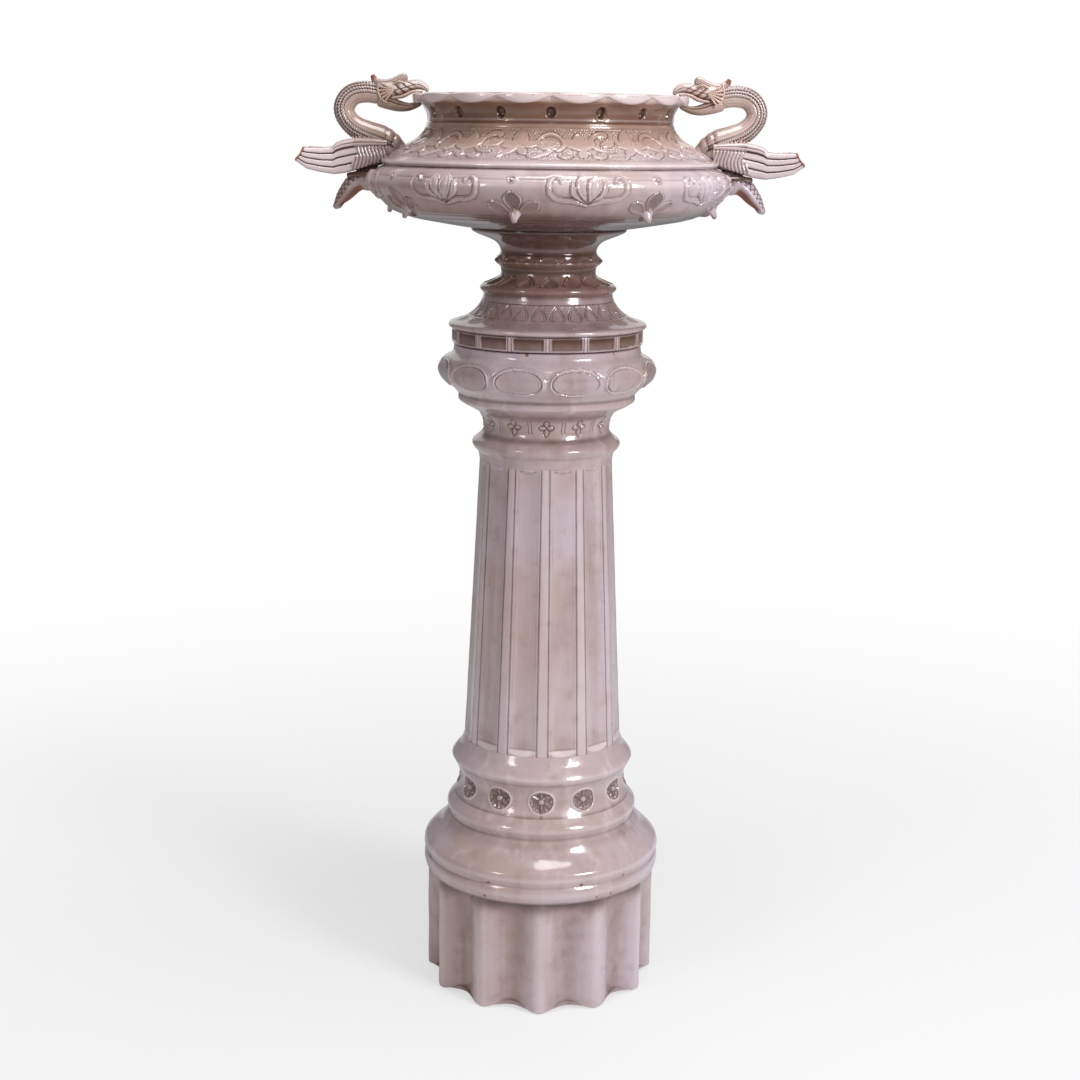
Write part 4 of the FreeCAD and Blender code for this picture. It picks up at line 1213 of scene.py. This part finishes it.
def wing_slab():
    """x runs from the root to the stepped tip, z from the low to the high edge, and y is the
    slab's middle plus half its thickness on the outer side of each ring and minus it on the
    inner. The thickness follows sqrt(1 - t^6), so that the long edges are rounded."""
    u = np.linspace(0, 1, 112)[:, None]
    half_ring = 52
    t = np.concatenate([-np.cos(np.linspace(0, np.pi, half_ring, endpoint=False)),
                        np.cos(np.linspace(0, np.pi, half_ring, endpoint=False))])[None, :]
    outer = np.where(np.arange(2 * half_ring) < half_ring, 1.0, -1.0)[None, :]
    v = (1 + t) / 2
    feather = np.clip(np.floor(v * FEATHERS), 0, FEATHERS - 1)
    in_feather = np.mod(v * FEATHERS, 1)
    tip = WING_TIP - 3.6 * feather - 2.4 * np.abs(in_feather - 0.35)
    x = WING_ROOT + u * (tip - WING_ROOT)
    low, high = edge_height(LOW_EDGE, x), edge_height(HIGH_EDGE, x)
    z = low + v * (high - low)
    middle = 20.5 + 17 * ease(0, 1, (x - 264) / 118) * (x - 264) / 118
    half = (4.8 - 1.3 * u) * np.sqrt(np.clip(1 - t**6, 0, 1))
    covert_end = COVERT_END + 4 * np.sin(v * 9) - 6 * v
    covert = 1 - ease(-1.5, 1.5, x - covert_end)
    groove = bump(np.abs(in_feather - 0.5) - 0.5, 0.16) * (np.abs(t) < 0.97)
    crown = 1.5 * np.sqrt(np.clip(1 - (2 * in_feather - 1) ** 2, 0, 1))
    quill = bump(in_feather - 0.55, 0.09)
    ripple = np.sin(2 * np.pi * (x + 2.2 * np.sin(z / 5.5)) / 5.4)
    cape = ease(0.72, 0.8, v) * (1 - ease(322, 330, x))
    cape_line = bump(v - 0.72, 0.035) + bump(v - 0.86, 0.03)
    relief = (1 - covert) * (1.2 * crown - 2.4 * groove - 0.6 * quill - 0.6)
    relief += covert * (1.6 + 0.75 * ripple * (1 - cape)) * (1 - 0.5 * cape)
    relief += cape * 2.0 - 0.9 * cape_line * (x < CAPE_END)
    y = -(middle + outer * half + (outer > 0) * relief * np.sqrt(np.clip(1 - t**8, 0, 1))
          - (outer < 0) * (1 - covert) * 0.8 * groove)
    front = (outer > 0).astype(float)
    end = ease(0.965, 0.99, u)
    valley = np.clip(-ripple, 0, 1) * covert * (1 - cape)
    marks = {"recess": 0.14 + front * (0.95 * (1 - covert) * groove + 0.7 * valley
                                       + 0.8 * cape_line * (x < CAPE_END)),
             "bare": np.maximum(end * 0.85, front * 0.3 * groove * (1 - covert)),
             "pale": 0.75 * front * (1 - covert) * (1 - np.clip(groove, 0, 1)) + 0.4 * covert,
             "warm": 0.25 * covert * front}
    return closed_tube(np.stack([x, y, z], axis=2)[:, ::-1], {
        mark: np.broadcast_to(value, x.shape)[:, ::-1] for mark, value in marks.items()})


wing = wing_slab()
print("wing vertices:", len(wing[0]))


# %% Body and tail
BODY = [(226, 0, 1330, 8, 12), (244, 0, 1334, 17, 19), (268, 0, 1333, 23, 22),
        (295, 0, 1327, 23, 20.5), (315, 0, 1318, 17, 17), (328, 0, 1311, 9, 11)]
TAIL = [(256, 0, 1303, 18, 18), (281, 0, 1291, 18, 21), (297, 0, 1281, 17.5, 19.5),
        (308, 0, 1269, 15.5, 17.5), (318, 0, 1258, 11.5, 14), (329.5, 0, 1247.5, 3, 7)]


def chest(phi, s, total):
    """Collar folds round the breast."""
    fold = np.sin(s / 2.1) * (1 - ease(18, 26, s)) * ease(0.0, 0.5, np.cos(phi) + 0.4)
    # Darker underneath: painted shade under the body.
    return 0.9 * fold, {"recess": 0.6 * np.clip(-fold, 0, 1) + 0.5 * ease(0.3, 0.9, -np.cos(phi))}


def trumpet(phi, s, total):
    """Crossed cuts on the back of the tail, and a hollow of bare clay under it."""
    back = ease(0.1, 0.5, -np.cos(phi))
    along = s / 4.2
    around = phi * 2.6
    cuts = bump(np.mod(along + around, 2) - 1, 0.35) + bump(np.mod(along - around, 2) - 1, 0.35)
    mouth = ease(30, 42, s) * (1 - ease(total - 18, total - 5, s))
    hollow = ease(-0.1, 0.5, np.cos(phi)) * mouth
    rim = bump(np.cos(phi) + 0.2, 0.2) * mouth
    return (-0.9 * np.clip(cuts, 0, 1) * back - 6.5 * hollow + 1.2 * rim,
            {"recess": (0.85 * np.clip(cuts, 0, 1) * back + 0.6 * (1 - ease(18, 34, s))
                        + 0.5 * hollow + 0.14),
             "bare": np.maximum(0.95 * hollow, 0.5 * ease(total - 8, total, s))})


dark_leg = limb([(266, -13, 1299, 4.6, 9), (288, -13, 1299, 5.2, 9.5),
                 (308, -12, 1296, 4.8, 7)], sides=32, step=2.0,
                relief=lambda phi, s, total: (0.5 * np.cos(5 * phi), {"recess": 0.9, "warm": 0.8}))
scroll_ball = limb([(274, -19, 1283, 6.2, 5), (278, -19, 1282, 6.2, 5)], sides=32, step=1.2,
                   round_ends=(1, 1),
                   relief=lambda phi, s, total: (0, {"recess": 0.35}))
shoulder_folds = gather(*[limb([(x, -17.5, z, 1.6, 1.8) for x, z in spiral(
    284, 1356, 190, 165, reach, reach - 2, 9)], sides=20, step=1.4) for reach in (6, 11, 16)])
print("shoulder folds vertices:", len(shoulder_folds[0]))

# %% Build both dragons
trunk = limb(BODY, sides=64, step=1.6, relief=chest)
tail = limb(TAIL, sides=72, step=1.1, round_ends=(0.6, 0.4), relief=trumpet)
head = limb(HEAD, sides=72, step=1.2, relief=face_lines)
jaw = limb(JAW, sides=56, step=1.4, relief=jaw_lines)
cheek = both_sides(gather(eye, lid, nostril, lip_fold, cheek_fan()))
shapes = {
    "trunk": (gather(trunk, both_sides(shoulder_folds)), "body"),
    "tail_fan": (gather(tail, both_sides(dark_leg), both_sides(scroll_ball)), "tail"),
    "throat": (neck, "neck"),
    "face": (gather(head, jaw, cheek), "head"),
    "comb": (limb(COMB, sides=48, step=1.2, relief=comb_lines), "crest"),
    "front_plumes": (wing, "front_wing"),
    "back_plumes": (mirrored(wing, (1, -1, 1)), "back_wing"),
}
for side in ("right", "left"):
    for word, (shape, node) in shapes.items():
        turned = shape if side == "right" else mirrored(shape)
        place(write_mesh(f"{side}_dragon_{word}", *turned, crease=50), "jardiniere",
              f"{side}_dragon_{node}")

# %% [markdown]
# ## Writing shader maths
# A glaze is a formula, so it is written as one. `Shade` wraps a socket of the node tree, and the
# signs +, - and * on it add Math nodes.


# %% Sockets that can be calculated with
class Shade:
    """A socket of the node tree that is being written."""

    tree = None

    def __init__(self, socket):
        self.socket = socket

    @staticmethod
    def node(kind, settings=None, links=None, out=0):
        """Adds a node, sets it, then fills its sockets with values or links."""
        made = Shade.tree.nodes.new(kind)
        for key, value in (settings or {}).items():
            setattr(made, key, value)
        for key, value in (links or {}).items():
            if isinstance(value, Shade):
                Shade.tree.links.new(value.socket, made.inputs[key])
            else:
                made.inputs[key].default_value = value
        return Shade(made.outputs[out]) if made.outputs else None

    @staticmethod
    def maths(operation, *values):
        """A Math node on numbers or sockets."""
        return Shade.node("ShaderNodeMath", {"operation": operation}, dict(enumerate(values)))

    def __add__(self, other):
        return Shade.maths("ADD", self, other)

    def __sub__(self, other):
        return Shade.maths("SUBTRACT", self, other)

    def __rsub__(self, other):
        return Shade.maths("SUBTRACT", other, self)

    def __mul__(self, other):
        return Shade.maths("MULTIPLY", self, other)

    __radd__ = __add__
    __rmul__ = __mul__

    def above(self, low, high):
        """Smoothly 0 below low and 1 above high."""
        return Shade.node("ShaderNodeMapRange", {"interpolation_type": "SMOOTHSTEP"},
                          {"Value": self, "From Min": low, "From Max": high})


print("Shade has", ", ".join(name for name in vars(Shade) if not name.startswith("__")))


# %% Colours and noise
def tint(red, green, blue):
    """A colour read off as 0 to 255 display values, made linear for the shader."""
    display = np.array([red, green, blue]) / 255
    linear = np.where(display <= 0.04045, display / 12.92, ((display + 0.055) / 1.055) ** 2.4)
    return (*linear, 1.0)


def mixed(factor, under, over):
    """One colour over another by a factor."""
    return Shade.node("ShaderNodeMix", {"data_type": "RGBA"},
                      {0: factor, 6: under, 7: over}, out=2)


def stretched(place_in, x, y, z):
    """The place vector scaled along each axis."""
    return Shade.node("ShaderNodeVectorMath", {"operation": "MULTIPLY"},
                      {0: place_in, 1: (x, y, z)})


def noise(place_in, scale, detail=3, rough=0.55):
    """Soft fractal noise from about 0 to 1."""
    return Shade.node("ShaderNodeTexNoise", {}, {"Vector": place_in, "Scale": scale,
                                                 "Detail": detail, "Roughness": rough})


print("mid grey, linear:", round(tint(128, 128, 128)[0], 3))

# %% [markdown]
# ## The glaze
# The ware is red clay under a pinkish grey glaze that ran thin on edges and pooled brown in the
# hollows. The marks on each vertex say where that is, where shade is painted into hollows and
# under overhangs, and where highlight is painted on crests, and noise breaks every edge of it.
# The upper bowl fired honey-coloured, and its left side is painted browner as shade, so two more
# layers go by the place on the object.

# %% Where each colour lies
glaze = bpy.data.materials.new("aged_glaze")
glaze.use_nodes = True
Shade.tree = glaze.node_tree
glaze.node_tree.nodes.clear()
here = Shade.node("ShaderNodeTexCoord", out="Object")


def mark_of(name):
    """A mark stored on the vertices."""
    return Shade.node("ShaderNodeAttribute", {"attribute_name": name}, out="Fac")


patches = noise(here, 4.5, 3, 0.5)
streaks = noise(stretched(here, 1, 1, 0.06), 42, 3, 0.5)
drips = noise(stretched(here, 1, 1, 0.14), 22, 4, 0.55)
mottle = noise(here, 38, 4, 0.55)
fine = noise(here, 260, 3, 0.6)
recess = (mark_of("recess") + (mottle - 0.5) * 0.3).above(0.0, 1.0)
bare = (mark_of("bare") + (fine - 0.5) * 0.5).above(0.35, 0.6)
warm = (mark_of("warm") + (mottle - 0.5) * 0.3).above(0.0, 1.0)
pale = (mark_of("pale") + (fine - 0.5) * 0.3).above(0.1, 1.0)
punched = mark_of("punched")
across = Shade.node("ShaderNodeSeparateXYZ", {}, {0: here}, out="X")
rise = Shade.node("ShaderNodeSeparateXYZ", {}, {0: here}, out="Z")
honey = rise.above(1.325, 1.36) * patches.above(0.3, 0.6)
# Browner on the left of the bowl: painted shade on the side away from the key light.
left_side_shade = (0 - across).above(0.02, 0.3) * rise.above(1.2, 1.26)
LAYERS = (
    (streaks.above(0.5, 0.72) * 0.4, tint(222, 209, 211)),
    (drips.above(0.5, 0.76) * 0.5, tint(160, 132, 122)),
    (mottle.above(0.5, 0.78) * 0.26, tint(152, 124, 116)),
    (honey * 0.6, tint(206, 168, 134)),
    # Painted shade on the left side.
    (left_side_shade * 0.4, tint(146, 118, 100)),
    # Browner, partly as painted shade under the bowl and on its left side.
    (warm * 0.85, tint(130, 88, 64)),
    # Lighter, mostly as painted highlight on crests and rims.
    (pale * 0.75, tint(226, 211, 213)),
    # Dark brown: pooled glaze in grooves, and painted shade in hollows and under overhangs.
    (recess * 0.92, tint(74, 47, 36)),
    (punched * 0.75, tint(84, 56, 46)),
)
print("layers of glaze:", len(LAYERS))

# %% Make the glaze
body_colour = mixed(patches.above(0.36, 0.64), tint(188, 165, 160), tint(198, 181, 189))
for share, shade in LAYERS:
    body_colour = mixed(share, body_colour, shade)
clay_colour = mixed(mottle, tint(128, 78, 62), tint(168, 112, 90))
colour = mixed(bare, body_colour, clay_colour)

roughness = 0.2 + (mottle - 0.5) * 0.12 + bare * 0.5
ripple = noise(here, 60, 2, 0.5) + fine * 0.12
bumped = Shade.node("ShaderNodeBump", {}, {"Height": ripple, "Strength": 0.3,
                                           "Distance": 0.0012})
surface = Shade.node("ShaderNodeBsdfPrincipled", {}, {
    "Base Color": colour, "Roughness": roughness, "Normal": bumped,
    "Coat Weight": 0.7 - bare * 0.7, "Coat Roughness": 0.05, "Specular IOR Level": 0.5})
Shade.node("ShaderNodeOutputMaterial", {}, {"Surface": surface})
for piece in MADE.values():
    piece.data.materials.append(glaze)
print("glaze nodes:", len(glaze.node_tree.nodes))

# %% [markdown]
# ## The studio
# A pale floor runs back until it melts into white, as paper does behind a piece on sale. Two soft
# lights stand at the front, the right one stronger and cooler, one hangs above, and a wide weak
# one behind keeps the back from going dark.

# %% Lay the floor
floor_mesh = bpy.data.meshes.new("floor")
floor_mesh.from_pydata([(-30, -12, 0), (30, -12, 0), (30, 60, 0), (-30, 60, 0)], [],
                       [(0, 1, 2, 3)])
floor = bpy.data.objects.new("floor", floor_mesh)
scene.collection.objects.link(floor)
paper = bpy.data.materials.new("paper")
paper.use_nodes = True
Shade.tree = paper.node_tree
paper.node_tree.nodes.clear()
spot = Shade.node("ShaderNodeTexCoord", out="Object")
away = Shade.node("ShaderNodeVectorMath", {"operation": "LENGTH"}, {0: spot}, out="Value")
sheen = Shade.node("ShaderNodeBsdfDiffuse", {}, {"Color": tint(236, 236, 238)})
glow = Shade.node("ShaderNodeEmission", {}, {"Color": (1, 1, 1, 1), "Strength": 1.0})
ray = Shade.node("ShaderNodeLightPath", out="Is Camera Ray")
far = (away.above(0.2, 2.8) * 0.38 + 0.62) * ray
both = Shade.node("ShaderNodeMixShader", {}, {0: far, 1: sheen, 2: glow})
Shade.node("ShaderNodeOutputMaterial", {}, {"Surface": both})
floor.data.materials.append(paper)
print("the floor goes from", floor_mesh.vertices[0].co.y, "to", floor_mesh.vertices[2].co.y, "m")

# %% Make the world
world = bpy.data.worlds.new("studio")
scene.world = world
world.use_nodes = True
Shade.tree = world.node_tree
world.node_tree.nodes.clear()
seen = Shade.node("ShaderNodeLightPath", out="Is Camera Ray")
sky = Shade.node("ShaderNodeBackground", {}, {"Color": tint(240, 238, 240), "Strength": 0.25})
white = Shade.node("ShaderNodeBackground", {}, {"Color": (1, 1, 1, 1), "Strength": 1.0})
mix = Shade.node("ShaderNodeMixShader", {}, {0: seen, 1: sky, 2: white})
Shade.node("ShaderNodeOutputWorld", {}, {"Surface": mix})
print("world nodes:", len(world.node_tree.nodes))


# %% Light it
def softbox(name, at, width, height, power, colour):
    """A large rectangular light aimed at the middle of the piece."""
    lamp = bpy.data.lights.new(name, "AREA")
    lamp.shape = "RECTANGLE"
    lamp.size = width
    lamp.size_y = height
    lamp.energy = power
    lamp.color = colour
    box = bpy.data.objects.new(name, lamp)
    box.location = at
    box.rotation_euler = (AIM - Vector(at)).to_track_quat("-Z", "Y").to_euler()
    scene.collection.objects.link(box)
    print(f"{name}: {power} W")


AIM = Vector((0, 0, 0.9))
softbox("key", (2.3, -2.2, 2.3), 0.9, 1.4, 84, (0.97, 0.98, 1.0))
softbox("fill", (-2.3, -2.4, 2.1), 0.5, 1.1, 19, (1.0, 0.97, 0.94))
softbox("back", (-0.3, 3.2, 2.0), 3.0, 2.4, 13, (1.0, 0.99, 0.97))
softbox("top", (0.3, -0.6, 3.3), 1.2, 1.2, 33, (1.0, 1.0, 1.0))

# %% [markdown]
# ## The camera
# The photograph looks down a little from just below the height of the rim, so the mouth of the
# bowl stays out of sight, and it leans by less than a degree.

# %% Place the camera
PITCH = math.radians(12.83)
LEAN = math.radians(0.75)
STANDS_AT = (-0.0075, -2.800, 1.3677)
lens = bpy.data.cameras.new("camera")
lens.sensor_width = 36
lens.lens = 60
camera = bpy.data.objects.new("camera", lens)
camera.matrix_world = (Matrix.Translation(STANDS_AT)
                       @ Matrix.Rotation(math.pi / 2 - PITCH, 4, "X")
                       @ Matrix.Rotation(LEAN, 4, "Z"))
scene.collection.objects.link(camera)
scene.camera = camera
scene.view_settings.view_transform = "Standard"
print(f"camera {-STANDS_AT[1]} m in front, {STANDS_AT[2]:.2f} m up, {lens.lens:.0f} mm lens")

# %% Count the triangles
print("triangles in all:", sum(len(piece.data.loops) - 2 * len(piece.data.polygons)
                               for piece in MADE.values()))
